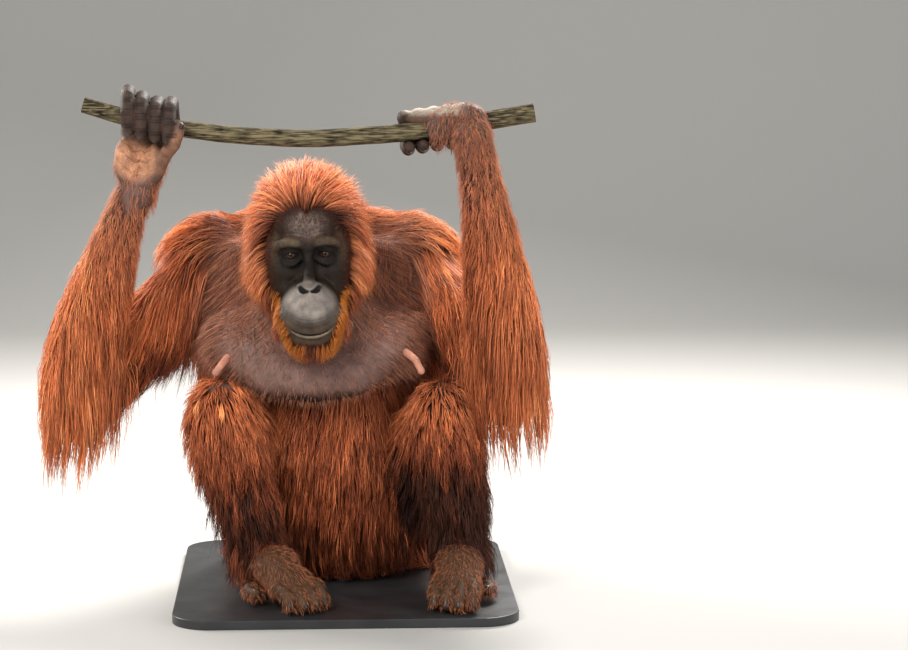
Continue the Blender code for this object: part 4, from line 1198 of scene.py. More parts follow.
def radiates(points, outward):
    """The lie of the head's hair: away from the face in front, and down at the sides and behind."""
    x, y, z = points.T
    away = unit(np.stack([x, np.zeros_like(x), z - 0.005], 1))
    front = fade(-y, -0.035, 0.045)[:, None]
    side = np.clip(np.abs(x) / 0.055, 0, 1)[:, None] * fade(-z, -0.105, -0.04)[:, None]
    back = np.array((0, 1.0, 0)) * fade(z, 0.03, 0.08)[:, None]
    return away * front * 0.95 + back * 0.75 + DOWN * (0.22 + 0.75 * side + 0.6 * (1 - front))


def falls_from_jaw(points, outward):
    x = points[:, :1]
    return DOWN + np.array((1.0, 0, 0)) * np.clip(x * 9, -0.45, 0.45) + np.array((0, -0.15, 0))


def on_jaw(points):
    """Whether a place lies on the cheeks and jaw, beside and below the muzzle."""
    x, y, z = points.T
    return (z < -0.038) & (y < -0.048)


def beside_beard(points):
    """The strip of cheek between beard and hood, where hair hangs, darkened there with painted shade."""
    edge = np.interp(points[:, 2], FACE_HEIGHTS, FACE_WIDTHS)
    return on_jaw(points) & (points[:, 2] > -0.125) & (np.abs(points[:, 0]) > edge + 0.005)


def head_tufts(count, lie, length, depth, width, steps, where, shade, lift, hang, each=4, hold=0.3,
               wave=0.0018, amber=None, mauve=0.0):
    roots = scatter(head_points, head_faces, where, count)
    many = len(roots)
    stretch = rng.uniform(0.75, 1.12, many) * value_of(length, roots)
    layer = rng.uniform(0.25, 1.0, many) * value_of(depth, roots)
    lifts = lift * rng.uniform(0.5, 1.3, many)
    paths = grow(head, roots, lie, stretch, layer, lifts, np.full(many, hang), steps)
    paths, string = gather(paths, each, hold, 0.0025)
    paths = waver(paths, wave)
    outward = head.outward(roots)
    turned = head_to_world(outward) - HEAD_PLACE
    paths = keep_out(head_to_world(paths), body, 0.004)
    by_string = rng.normal(0, 1, string.max() + 1)[string]
    warm = np.clip(shade(roots) + 0.10 * by_string, 0, 1)
    tone = np.clip(0.5 + 0.2 * rng.normal(0, 1, many) + 0.1 * by_string, 0, 1)
    widths = width * rng.uniform(0.7, 1.25, many) / 1.0
    golden = np.zeros(many) if amber is None else np.clip(amber(roots), 0, 1)
    notes = {"warmth": warm, "tone": tone, "amber": golden, "mauve": np.full(many, mauve)}
    return paths, turned, widths, notes


def hood_length(points):
    x, y, z = points.T
    sides = np.clip(np.abs(x) / 0.05, 0, 1)
    low = fade(-z, 0.000, 0.065)
    return 0.056 + 0.010 * sides * fade(-z, -0.06, 0.0) - 0.030 * low * sides


def hood_depth(points):
    edge = fade(outside_face(points), 0.0, 0.022)
    crown = fade(points[:, 2], 0.050, 0.085)
    low = fade(-points[:, 2], 0.010, 0.065)
    return (0.020 + 0.022 * edge) * (1 - 0.20 * crown - 0.25 * low) * (1 - 0.60 * beside_beard(points))


def hood_shade(points):
    """Painted shade at the hairline, then rosy, with a bright orange column of painted light down each side
    of the face, and painted shade beside the beard.
    """
    edge = outside_face(points)
    # painted shade: the hair darkens along the hairline
    hairline = (1 - fade(edge, 0.0, 0.007)) * fade(points[:, 2], 0.020, 0.045)
    return 0.69 + 0.02 * lit_column_beside_face(points) - 0.58 * hairline - 0.42 * beside_beard(points)


def lit_column_beside_face(points):
    """The bright orange columns of painted light down the sides of the face."""
    edge = outside_face(points)
    height = fade(-points[:, 2], -0.055, -0.020) * fade(points[:, 2], -0.085, -0.050)
    return height * (1 - fade(edge, 0.006, 0.018)) * fade(-points[:, 1], 0.01, 0.04)


under_hood = lambda p: ((outside_face(p) > 0) & ~on_jaw(p) | beside_beard(p)) * (0.5 + (p[:, 1] < 0.02))
# the amber tint in the columns beside the face is painted light
hood = head_tufts(
    11600, radiates, hood_length, hood_depth, 0.0017, 3, under_hood, hood_shade, lift=1.0, hang=0.45,
    amber=lambda p: 0.10 * lit_column_beside_face(p), mauve=0.14
)
coat_piece("coat_head", *hood)


# %% Beard
def mid_chin(points):
    """1 on the midline, where the beard is dark under the lip."""
    return np.exp(-((points[:, 0] / 0.013) ** 2))


def beard_shade(points):
    return 0.62 * (1 - mid_chin(points) * (points[:, 2] < -0.118))


def beard_length(points):
    """Longest under the chin."""
    return 0.018 + 0.010 * fade(-points[:, 2], 0.105, 0.130)


def beard_where(points):
    """A band along the edge of the muzzle, and the chin."""
    x, y, z = points.T
    edge = np.interp(z, FACE_HEIGHTS, FACE_WIDTHS)
    band = fade(np.abs(x), edge - 0.009, edge - 0.001) * (1 - fade(np.abs(x), edge + 0.003, edge + 0.008))
    chin = fade(-z, 0.122, 0.132)
    ends = (y > -0.165) * fade(-y, 0.060, 0.090) * fade(-z, 0.040, 0.062)
    return on_jaw(points) * np.maximum(band, chin) * ends


beard = head_tufts(3700, falls_from_jaw, beard_length, 0.0060, 0.0010, 3, beard_where, beard_shade,
                   lift=0.32, hang=0.25, hold=0.35, wave=0.0008, amber=lambda p: 0.95 * (1 - mid_chin(p)))
coat_piece("coat_beard", *beard)

# %% [markdown]
# ## Short hair
# Forehead, brows and muzzle carry a fuzz of very short dark hair, the chest a thin fur that lets the
# skin show, and the feet and the backs of the hands coarse brown hair.


# %% Fuzz on the face
def fuzz_where(points):
    x, y, z = points.T
    bare = outside_face(points) < 0.002
    forehead = 0.35 * fade(z, 0.010, 0.022) + 0.5 * fade(z, 0.026, 0.050)
    temple = fade(np.abs(x), 0.038, 0.056) * (z > -0.06)
    chin = fade(-z, 0.120, 0.128)
    return bare * (y < -0.03) * np.maximum.reduce([forehead, temple, chin])


def fuzz_lie(points, outward):
    x, y, z = points.T
    return np.stack([x * 8, np.zeros_like(x), np.where(z > -0.02, 0.8, -0.8)], 1)


def fuzz_shade(points):
    return -0.10 + 0.06 * fade(np.abs(points[:, 0]), 0.044, 0.060) * (points[:, 2] < 0.03)


fuzz = head_tufts(7000, fuzz_lie, 0.0085, 0.0022, 0.00050, 2, fuzz_where, fuzz_shade, lift=0.25,
                  hang=0.0, each=3, hold=0.3, wave=0.0002)
coat_piece("coat_fuzz", *fuzz)


# %% Chest fur
def chest_lie(points, outward):
    out = np.clip((points[:, :1] - MIDLINE[0]) * 9, -1.2, 1.2)
    return DOWN + out * np.array((1.0, 0, 0)) + np.array((0, 0.1, 0))


def chest_length(points):
    """Very short on the fold, longer up and out to the sides of the chest."""
    up = fade(points[:, 2], 0.36, 0.47)
    aside = fade(np.abs(points[:, 0] + 0.012), 0.085, 0.145)
    return 0.018 + 0.031 * np.maximum(up, 0.8 * aside)


def chest_thickness(points):
    up = fade(points[:, 2], 0.35, 0.44)
    aside = fade(np.abs(points[:, 0] + 0.012), 0.085, 0.140)
    return 0.60 + 0.75 * np.maximum(up, aside)


chest_width = lambda p: 0.0006 + 0.0004 * fade(p[:, 2], 0.37, 0.46)
thin_fur = grow_part(
    "chest", 8600, chest_lie, chest_length, 0.007, chest_width, 2, lift=0.22, hang=0.15, each=3, hold=0.3,
    where=chest_thickness, varied=0.17
)
coat_piece("coat_chest", *thin_fur)


def converging(points, outward):
    """From the shoulders down, and a little in, over the ends of the fold."""
    return DOWN + (MIDLINE - points) * (1, 0, 0) * 2.5


def side_of_chest(points):
    aside = fade(np.abs(points[:, 0] + 0.012), 0.045, 0.090)
    return (0.08 + aside) * fade(points[:, 2], 0.375, 0.430) * (points[:, 1] < 0.02)


def side_length(points):
    return 0.024 + 0.016 * fade(points[:, 2], 0.40, 0.48)


over_fold = grow_part("chest", 2100, converging, side_length, 0.009, 0.0011, 3, shade=0.06, lift=0.25,
                      hang=0.4, each=4, hold=0.3, where=side_of_chest, varied=0.16)
below_neck = grow_part("torso", 4000, off_shoulders, 0.044, 0.011, 0.0013, 3, lift=0.28,
                       hang=0.4, each=4, hold=0.35, where=thinly_haired, varied=0.16)
coat_piece("coat_chest_sides", *together(over_fold, below_neck))


# %% Feet and hands
def tufts_on(net, flesh, count, lie, length, depth, width, where, shade, steps=3, mauve=0.0, amber=0.0):
    """Short tufts on a hand's or a foot's own skin."""
    roots = scatter(*net, where, count)
    many = len(roots)
    stretch = length * rng.uniform(0.6, 1.2, many)
    layer, lifts = depth * rng.uniform(0.4, 1, many), 0.4 * rng.uniform(0.5, 1.5, many)
    paths = grow(flesh, roots, lie, stretch, layer, lifts, np.full(many, 0.3), steps)
    paths, string = gather(paths, 4, 0.5, 0.002)
    by_string = rng.normal(0, 1, string.max() + 1)[string]
    notes = {"warmth": np.clip(shade + 0.08 * by_string, 0, 1), "amber": np.full(many, amber)}
    notes["tone"] = np.clip(0.5 + 0.2 * rng.normal(0, 1, many), 0, 1)
    notes["mauve"] = np.full(many, mauve)
    return waver(paths, 0.001), flesh.outward(roots), width * rng.uniform(0.7, 1.2, many), notes


for side in SIDES:
    ahead, _ = flat_ahead(side)
    toe_start = TOE[side] @ ahead + 0.004
    forward = lambda points, outward, ahead=ahead: ahead * 0.9 + DOWN * 0.9
    off_toes = lambda p, ahead=ahead, stop=toe_start: 0.60 + 0.40 * fade(stop + 0.016 - p @ ahead, 0, 0.024)
    top_of_foot = lambda p, f=off_toes: fade(p[:, 2], 0.004, 0.018) * f(p)
    instep = tufts_on(foot_nets[side], feet[side], 5100, forward, 0.019, 0.005, 0.0010, top_of_foot, 0.22,
                      steps=2, mauve=0.42, amber=0.35)
    coat_piece(f"coat_foot_{side}", *instep)

wrist_lie = {side: runs_to(ELBOW[side], 1.0) for side in SIDES}
behind_wrist = lambda p: fade(0.690 - p[:, 2], 0, 0.03) * fade(p[:, 1], -0.200, -0.180)
facing = lambda p: np.maximum(fade(p[:, 0], 0.190, 0.215), fade(-p[:, 1], 0.210, 0.220))
on_left_wrist = lambda p: fade(p[:, 0], 0.152, 0.176) * facing(p)
left_back = tufts_on(hand_nets["left"], hands["left"], 2900, wrist_lie["left"], 0.016, 0.004, 0.0008,
                     on_left_wrist, 0.46, mauve=0.85)
right_back = tufts_on(hand_nets["right"], hands["right"], 1300, wrist_lie["right"], 0.020, 0.006, 0.0010,
                      behind_wrist, 0.56, mauve=0.35)
wrists = together(left_back, right_back)
coat_piece("coat_wrists", *wrists)

# %% [markdown]
# ## Materials
# Hair: one material for every coat piece. It reads how far along the tuft a point lies, how orange
# that place of the coat is, and a number of the tuft's own, and turns them into a colour, with
# painted shade towards the root and painted light towards the tip. The colour itself comes from a
# node group, so that the thin fur and the long coat stay one animal.


# %% Small helpers for node trees
def group_of(name, inputs, outputs):
    """An empty shader group with its sockets, given as (name, type, value)."""
    tree = bpy.data.node_groups.new(name, "ShaderNodeTree")
    for label, kind, value in inputs:
        socket = tree.interface.new_socket(label, in_out="INPUT", socket_type=kind)
        if value is not None:
            socket.default_value = value
    for label, kind in outputs:
        tree.interface.new_socket(label, in_out="OUTPUT", socket_type=kind)
    return tree, tree.nodes.new("NodeGroupInput"), tree.nodes.new("NodeGroupOutput")


def fill_in(tree, made, values):
    """Gives a node's inputs their values, or links where a value is a socket."""
    for key, value in values.items():
        if isinstance(value, bpy.types.NodeSocket):
            tree.links.new(value, made.inputs[key])
        else:
            made.inputs[key].default_value = value
    return made


def add(tree, kind, values=None, **settings):
    """A node with its settings and the values or links of its inputs."""
    made = tree.nodes.new(kind)
    for key, value in settings.items():
        setattr(made, key, value)
    return fill_in(tree, made, values or {})


def ramp(tree, factor, stops, name="ramp"):
    """A colour ramp through (place, colour) stops."""
    made = add(tree, "ShaderNodeValToRGB", {"Fac": factor}, label=name)
    elements = made.color_ramp.elements
    while len(elements) < len(stops):
        elements.new(0.5)
    for element, (place, colour) in zip(elements, stops):
        element.position = place
        element.color = (*colour, 1)
    return made.outputs["Color"]


MIX_FACTOR, MIX_A, MIX_B, MIX_COLOUR = 0, 6, 7, 2


def mix(tree, factor, a, b, blend="MIX"):
    """Two colours, each a socket or three numbers, mixed by a factor."""
    a, b = (value if isinstance(value, bpy.types.NodeSocket) else (*value, 1) for value in (a, b))
    values = {MIX_FACTOR: factor, MIX_A: a, MIX_B: b}
    return add(tree, "ShaderNodeMix", values, data_type="RGBA", blend_type=blend).outputs[MIX_COLOUR]


def math_node(tree, operation, a, b=0.5):
    return add(tree, "ShaderNodeMath", {0: a, 1: b}, operation=operation).outputs[0]


def new_material(name, roughness, **inputs):
    made = bpy.data.materials.new(name)
    made.use_nodes = True
    shader = made.node_tree.nodes["Principled BSDF"]
    shader.inputs["Roughness"].default_value = roughness
    for key, value in inputs.items():
        shader.inputs[key.replace("_", " ")].default_value = value
    return made, made.node_tree, shader


def reading(tree, name):
    return add(tree, "ShaderNodeAttribute", attribute_name=name).outputs["Fac"]


def place_on(tree):
    """Each place of the object, in its own metres."""
    return add(tree, "ShaderNodeTexCoord").outputs["Object"]


def noise(tree, place, scale, detail, output="Fac"):
    values = {"Vector": place, "Scale": scale, "Detail": detail}
    return add(tree, "ShaderNodeTexNoise", values).outputs[output]


# %% Hair
MAROON, RUST = (0.066, 0.018, 0.008), (0.350, 0.083, 0.030)
ORANGE, GOLD = (0.735, 0.228, 0.085), (0.95, 0.46, 0.18)
HAIR_INPUTS = (("Along", 0.5), ("Warmth", 0.5), ("Tone", 0.5), ("Amber", 0.0), ("Mauve", 0.0))
hair_group, given, result = group_of(
    "hair colour",
    [(label, "NodeSocketFloat", value) for label, value in HAIR_INPUTS],
    [("Color", "NodeSocketColor")],
)
body_colour = ramp(
    hair_group, given.outputs["Warmth"], ((0.0, MAROON), (0.35, RUST), (0.75, ORANGE), (1.0, GOLD))
)
# painted shade: each tuft darkens towards its root, and painted light brightens it towards its tip
root_shade_tip_light = ramp(
    hair_group, given.outputs["Along"],
    ((0.0, (0.36, 0.30, 0.28)), (0.35, (1, 1, 1)), (1.0, (1.30, 1.32, 1.30)))
)
golden = mix(hair_group, given.outputs["Amber"], body_colour, (0.500, 0.155, 0.018))
faded = mix(
    hair_group, math_node(hair_group, "MULTIPLY", given.outputs["Mauve"], 0.85), golden,
    (0.430, 0.200, 0.130)
)
lit = mix(hair_group, 1.0, faded, root_shade_tip_light, "MULTIPLY")
variety = ramp(
    hair_group, given.outputs["Tone"],
    ((0.0, (0.45, 0.42, 0.42)), (0.5, (1, 1, 1)), (1.0, (1.5, 1.45, 1.35)))
)
hair_group.links.new(mix(hair_group, 1.0, lit, variety, "MULTIPLY"), result.inputs["Color"])

coat_material, tree, shader = new_material("coat hair", 0.55, Specular_IOR_Level=0.35)
coloured = add(tree, "ShaderNodeGroup", node_tree=hair_group)
for name in ("along", "warmth", "tone", "amber", "mauve"):
    tree.links.new(reading(tree, name), coloured.inputs[name.capitalize()])
tree.links.new(coloured.outputs["Color"], shader.inputs["Base Color"])
for piece in COAT:
    piece.data.materials.append(coat_material)

# %% [markdown]
# Skin: a group that turns a colour into living skin, with fine creases, pores and blotches. The
# markings of the face are kept on the mesh as numbers, computed from places on the face.

# %% Skin
skin_group, given, result = group_of(
    "skin surface",
    [("Color", "NodeSocketColor", (0.3, 0.2, 0.2, 1)), ("Crease Scale", "NodeSocketFloat", 260.0),
     ("Crease Depth", "NodeSocketFloat", 0.5), ("Blotch", "NodeSocketFloat", 0.4)],
    [("Color", "NodeSocketColor"), ("Roughness", "NodeSocketFloat"), ("Normal", "NodeSocketVector")],
)
where = place_on(skin_group)
pores = noise(skin_group, where, 700.0, 5.0)
drift = noise(skin_group, where, 240.0, 2.0, "Color")
aside = add(skin_group, "ShaderNodeVectorMath", {0: drift, 1: (0.5, 0.5, 0.5)}, operation="SUBTRACT")
moved = add(skin_group, "ShaderNodeVectorMath", {0: aside.outputs[0], "Scale": 0.006}, operation="SCALE")
warped = add(skin_group, "ShaderNodeVectorMath", {0: where, 1: moved.outputs[0]}, operation="ADD")
cell_inputs = {"Vector": warped.outputs[0], "Scale": given.outputs["Crease Scale"]}
cells = add(skin_group, "ShaderNodeTexVoronoi", cell_inputs, feature="DISTANCE_TO_EDGE")
blotches = noise(skin_group, where, 70.0, 4.0)
groove = ramp(skin_group, cells.outputs["Distance"], ((0.0, (0, 0, 0)), (0.25, (1, 1, 1))))
height = mix(skin_group, 0.55, groove, pores)
bump = add(
    skin_group, "ShaderNodeBump",
    {"Strength": given.outputs["Crease Depth"], "Distance": 0.0006, "Height": height}
)
spread = ramp(skin_group, blotches, ((0.3, (0.55, 0.55, 0.58)), (0.7, (1.35, 1.32, 1.3))))
mottled = mix(skin_group, 1.0, given.outputs["Color"], spread, "MULTIPLY")
soft = mix(skin_group, given.outputs["Blotch"], given.outputs["Color"], mottled)
shadow = math_node(skin_group, "MULTIPLY", given.outputs["Crease Depth"], 0.30)
creased = mix(skin_group, shadow, soft, mix(skin_group, 1.0, soft, groove, "MULTIPLY"))
skin_group.links.new(creased, result.inputs["Color"])
skin_group.links.new(math_node(skin_group, "MULTIPLY_ADD", pores, 0.3), result.inputs["Roughness"])
skin_group.links.new(bump.outputs["Normal"], result.inputs["Normal"])


def skin_material(name, base, marks, scale, depth, blotch):
    """A skin of a base colour and of marks, each an attribute and the colour that it brings."""
    made, tree, shader = new_material(name, 0.55, Specular_IOR_Level=0.20)
    colour = mix(tree, 0.0, base, base)
    for mark, brought in marks:
        colour = mix(tree, reading(tree, mark), colour, brought)
    values = {"Color": colour, "Crease Scale": scale, "Crease Depth": depth, "Blotch": blotch}
    surface = add(tree, "ShaderNodeGroup", node_tree=skin_group)
    fill_in(tree, surface, values)
    tree.links.new(surface.outputs["Color"], shader.inputs["Base Color"])
    tree.links.new(surface.outputs["Normal"], shader.inputs["Normal"])
    return made

# %% Marks on the head's skin, as numbers kept on its points
def near(points, centre, radii):
    """1 at a place and fading to 0 at the edge of an oval round it."""
    return 1 - fade(np.linalg.norm((points - centre) / radii, axis=1), 0.45, 1.0)


def close_to(distance, start, end):
    """1 where a distance is less than start, and 0 from end on."""
    return 1 - fade(distance, start, end)


def mirrored(points):
    """The same places, all on her left side."""
    return np.abs(points * (1, 0, 0)) + points * (0, 1, 1)


def mouth_distance(points, lift):
    """How far each place is from the line of the mouth, moved up by lift."""
    return along_mouth(lift, 0.0, 0.0)[0].distance(*points.T)


def lines_at(places, heights, width=0.0011):
    """Thin dark lines, for painted crease shade, where a place comes to one of the heights."""
    return np.max([np.exp(-(((places - height) / width) ** 2)) for height in heights], axis=0)


p, q = head_points, mirrored(head_points)
over_mouth = np.interp(np.abs(p[:, 0]), np.abs(mouth_x[12:]), mouth_z[12:])
front_of_face = fade(-p[:, 1], 0.098, 0.128)
aside, up = np.abs(p[:, 0]), p[:, 2]
# painted shade in the wrinkles above the brow and over the upper lip
above_brow = lines_at(up + 9 * (aside - 0.026) ** 2, (0.0300, 0.0352, 0.0404))
above_brow *= near(p, (0, -0.1, 0.034), (0.052, 0.06, 0.020))
on_lip = lines_at(up - over_mouth, (0.012, 0.0175, 0.023)) * close_to(aside, 0.020, 0.036) * front_of_face
between_eyes = near(p, (0, -0.115, -0.010), (0.02, 0.03, 0.028))
beside_brow = near(q, (0.048, -0.093, 0.010), (0.014, 0.034, 0.030))
over_brow = near(q, (0.028, -0.116, 0.0200), (0.025, 0.030, 0.0120))
head_marks = {
    "hairy": fade(outside_face(p), -0.004, 0.008),
    # painted shade in the eye sockets and between the eyes
    "socket": np.maximum(near(q, (0.0245, -0.104, -0.004), (0.036, 0.050, 0.026)), 0.8 * between_eyes),
    # painted highlight in olive tan on the brow ridge and beside the brows
    "brow_ridge_highlight": np.maximum(0.80 * over_brow, 0.6 * beside_brow),
    "temple": near(q, (0.056, -0.075, -0.015), (0.020, 0.05, 0.055)),
    "pale": near(p, (0, -0.168, -0.064), (0.052, 0.072, 0.039)) * front_of_face,
    "dusk": front_of_face * fade(over_mouth + 0.024 - p[:, 2], 0.0, 0.018),
    # painted highlight on the nose tip
    "tip": near(p, (0, -0.1520, -0.0400), (0.0095, 0.014, 0.0075)),
    "wing": near(q, (0.0125, -0.1440, -0.0455), (0.0095, 0.012, 0.0080)),
    "wrinkle_shade": np.maximum(0.45 * above_brow, 0.38 * on_lip),
    # painted shade: near black in the nostrils and in the line between the lips
    "nostril_shade": close_to(np.min([comma.distance(*p.T) for comma in nostrils], axis=0), 0.0004, 0.0030),
    "lip": close_to(mouth_distance(p, -0.0030), 0.0010, 0.0028),
    "mouth_line_shade": close_to(mouth_distance(p, 0.0), 0.0010, 0.0022),
    "forehead": near(p, (0, -0.095, 0.043), (0.040, 0.05, 0.032)),
}
skin_head = mesh_object("skin_head", head_to_world(head_points), head_faces)
note(skin_head, **head_marks)

# %% Body, hands and feet
skin_body = mesh_object("skin_body", body_points, body_faces)
on_chest = fade(distance_to("torso", body_points) - distance_to("chest", body_points), -0.020, 0.004)
low_chest = 1 - fade(body_points[:, 2], 0.52, 0.57)
WRIST_FRONT = (WRIST["right"] + (-0.004, -0.025, -0.020), (0.034, 0.026, 0.066))
wrist_front = near(body_points, *WRIST_FRONT)
front_skin = np.maximum(
    on_chest * low_chest * fade(-body_points[:, 1], 0.02, 0.06), 0.85 * thinly_haired(body_points)
)
bare = np.maximum(front_skin * fade(body_points[:, 2], 0.30, 0.33), 0.8 * wrist_front)
rosy = near(mirrored(body_points + (0.012, 0, 0)), (0.100, -0.150, 0.420), (0.075, 0.08, 0.070))
# painted shade in the crease under the belly fold
from_fold = np.abs(body_points[:, 2] - 0.302)
under_fold = fade(-body_points[:, 1], 0.08, 0.12) * close_to(from_fold, 0.004, 0.022)
note(skin_body, bare=bare, rosy=rosy, crease=0.7 * under_fold)

skins = {"head": skin_head, "body": skin_body}
for side in SIDES:
    for kind, nets in (("hand", hand_nets), ("foot", foot_nets)):
        skins[f"{kind}_{side}"] = mesh_object(f"skin_{kind}_{side}", *nets[side])

# %% Marks on the hands: fingers, palm, painted shade in the folds at the joints and in the lines of the palm, as heights
FINGER_BENDS = (-0.0205, -0.0165, -0.002, 0.002, 0.006, 0.018, 0.0215)
PALM_LINES = (0.008, 0.028, 0.043)
for side in SIDES:
    spots = hand_nets[side][0]
    x, y, z = spots.T
    fingers = digits_of(side)
    on_fingers = close_to(np.min([chain(f)[0].distance(*spots.T) for f in fingers], axis=0), 0.001, 0.008)
    if side == "right":
        knuckles = [(f[0][0], VINE_Y - 0.018, f[3][2] + 0.004) for f in fingers]
        knuckle_highlight = sum(near(spots, place, (0.0095, 0.012, 0.010)) for place in knuckles)
        palm_front = near(spots, WRIST["right"] + (-0.006, -0.022, 0.036), (0.046, 0.034, 0.044))
        thumb = close_to(chain(right_thumb())[0].distance(*spots.T), 0.001, 0.006)
        brown_thumb = 0.30 * thumb * close_to(z, 0.706, 0.722)
        warm = np.maximum(np.clip(palm_front * 1.25, 0, 1) * (1 - 0.5 * thumb), brown_thumb)
        # painted highlight on the knuckle tops
        pale = knuckle_highlight * 0.08
        crease_shade_lines = np.zeros(len(spots))
        for across, finger in zip(FINGERS["right"], fingers):
            bends = [finger[4][2] + rise for rise in FINGER_BENDS]
            own = close_to(np.abs(x - across), 0.006, 0.011)
            crease_shade_lines = np.maximum(crease_shade_lines, own * lines_at(z, bends) * fade(-y, 0.205, 0.215))
        off_x, off_z = x - WRIST["right"][0], z - WRIST["right"][2]
        bow = 0.9 * off_x**2 / 0.04 - 0.12 * off_x
        wander = 0.0016 * np.sin(x * 310) + 0.0010 * np.sin(x * 730 + z * 200)
        crease_shade_lines = np.maximum(crease_shade_lines, 0.5 * palm_front * lines_at(off_z - bow + wander, PALM_LINES))
    else:
        warm = np.zeros(len(spots))
        crease_shade_lines = on_fingers * lines_at(y, (-0.226, -0.222, -0.206, -0.202))
        # painted sheen along the top of the left hand
        pale = fade(z, 0.734, 0.744) * fade(0.215 - x, -0.01, 0.02) * fade(x, 0.118, 0.135)
    warm = warm * (1 - on_fingers)
    wrist_mark = near(spots, *WRIST_FRONT)
    note(skins[f"hand_{side}"], dark=on_fingers, warm=warm, pale=pale, fold=crease_shade_lines, wrist=wrist_mark)

# %% Skin materials
HIDE, FACE, SOOT = (0.060, 0.022, 0.015), (0.022, 0.013, 0.008), (0.006, 0.004, 0.003)
FACE_MARKS = (
    ("forehead", (0.180, 0.135, 0.110)),
    ("temple", (0.026, 0.015, 0.006)),
    # painted highlight on the brow ridge
    ("brow_ridge_highlight", (0.125, 0.092, 0.055)),
    # painted shade in the eye sockets
    ("socket", (0.012, 0.008, 0.006)),
    ("dusk", (0.085, 0.056, 0.037)),
    ("pale", (0.285, 0.245, 0.212)),
    # painted highlight on the nose tip
    ("tip", (0.170, 0.145, 0.125)),
    ("wing", (0.060, 0.048, 0.040)),
    # painted shade in the wrinkles
    ("wrinkle_shade", (0.018, 0.012, 0.008)),
    ("lip", (0.400, 0.320, 0.220)),
    # painted shade in the mouth line and the nostrils
    ("mouth_line_shade", SOOT),
    ("nostril_shade", SOOT),
    ("hairy", HIDE),
)
HAND_MARKS = (
    ("wrist", (0.184, 0.104, 0.085)),
    ("dark", (0.062, 0.037, 0.028)),
    ("warm", (0.640, 0.310, 0.175)),
    # painted highlight on the knuckles and painted sheen on the back of the left hand
    ("pale", (0.50, 0.42, 0.33)),
    # painted shade in the finger folds and the lines of the palm
    ("fold", (0.020, 0.010, 0.007)),
)
# the last body mark is painted shade under the belly fold
BODY_MARKS = (("bare", (0.215, 0.125, 0.102)), ("rosy", (0.290, 0.175, 0.145)), ("crease", SOOT))
foot_skin = skin_material("foot skin", (0.095, 0.050, 0.028), (), 300.0, 0.8, 0.5)
chosen = {
    "head": skin_material("face skin", FACE, FACE_MARKS, 480.0, 0.80, 0.85),
    "body": skin_material("body skin", HIDE, BODY_MARKS, 330.0, 0.50, 0.60),
    "hand": skin_material("hand skin", (0.130, 0.072, 0.052), HAND_MARKS, 300.0, 1.0, 0.8),
    "foot": foot_skin,
}
for name, piece in skins.items():
    piece.data.materials.append(chosen[name.split("_")[0]])
    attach(piece, "root")

# %% [markdown]
# ## Eyes
# Only a little of each eye shows, but it is the wettest and darkest thing on her, and it carries her
# look. It is a ball with a bulge for the cornea, whose colour is chosen by how far round the ball a
# point lies: pupil, brown iris, dark rim, brownish white.


# %% Eyes
def ball_net(angle, turns):
    """A ball of radius 1, with rings at the angles from its top: points, triangles, each point's angle."""
    inner = angle[1:-1, None]
    spin = np.linspace(0, 2 * math.pi, turns, endpoint=False)[None]
    wide, high = np.sin(inner), np.cos(inner) + 0 * spin
    points = np.stack([wide * np.cos(spin), wide * np.sin(spin), high], -1)
    points = np.concatenate([points.reshape(-1, 3), [(0, 0, 1), (0, 0, -1)]])
    top, low, last = len(points) - 2, len(points) - 1, len(points) - 2 - turns
    faces = []
    for k in range(turns):
        n = (k + 1) % turns
        faces += [(top, k, n), (low, last + n, last + k)]
        for row in range(0, last, turns):
            faces += [(row + k, row + turns + k, row + n), (row + n, row + turns + k, row + turns + n)]
    return points, np.array(faces), np.concatenate([np.repeat(angle[1:-1], turns), [0, math.pi]])


EYE_RINGS = np.concatenate([np.linspace(0, 0.9, 24), np.linspace(0.95, math.pi, 16)])
CORNEA_BULGE, CORNEA_EDGE, TURNED_OUT = 0.0009, 0.62, math.radians(1.5)


def eye_piece(side, sign):
    ball, faces, angle = ball_net(EYE_RINGS, 48)
    radius = EYE_RADIUS + CORNEA_BULGE * np.clip(1 - (angle / CORNEA_EDGE) ** 2, 0, 1)
    ahead = ball[:, [0, 2, 1]] * (1, -1, 1) * radius[:, None]
    gaze = np.array(Matrix.Rotation(TURNED_OUT * sign, 3, "Z"))
    middle = np.array((sign * EYE_HALF_SPACING, EYE_DEPTH, 0))
    obj = mesh_object(f"eye_{side}_ball", head_to_world(ahead @ gaze.T + middle), faces)
    note(obj, round=angle)
    return obj


eye_material, tree, shader = new_material(
    "eye", 0.05, Specular_IOR_Level=0.0, Coat_Weight=0.5, Coat_Roughness=0.03
)
EYE_COLOURS = (
    (0.00, (0.0010, 0.0008, 0.0006)),
    (0.150, (0.0010, 0.0008, 0.0006)),
    (0.185, (0.030, 0.011, 0.004)),
    (0.330, (0.046, 0.017, 0.006)),
    (0.430, (0.010, 0.004, 0.002)),
    (0.520, (0.026, 0.017, 0.012)),
    (1.00, (0.040, 0.024, 0.018)),
)
ball_colour = ramp(tree, reading(tree, "round"), EYE_COLOURS)
tree.links.new(ball_colour, shader.inputs["Base Color"])
eyes = {}
for side, sign in zip(SIDES, (-1, 1)):
    eyes[side] = eye_piece(side, sign)
    eyes[side].data.materials.append(eye_material)
    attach(eyes[side], "root")

# %% [markdown]
# ## Nails
# Her nails are dark, narrow and strongly curved. A nail is a hard thin plate, so it is a piece of its
# own: a flattened ball bent over the finger, let into the skin on its side away from the vine.


# %% Nails of fingers and toes
NAIL_SIZES, NAIL_SET_OUT, NAIL_SET_BACK = (0.66, 0.75, 0.16), 0.90, 0.05


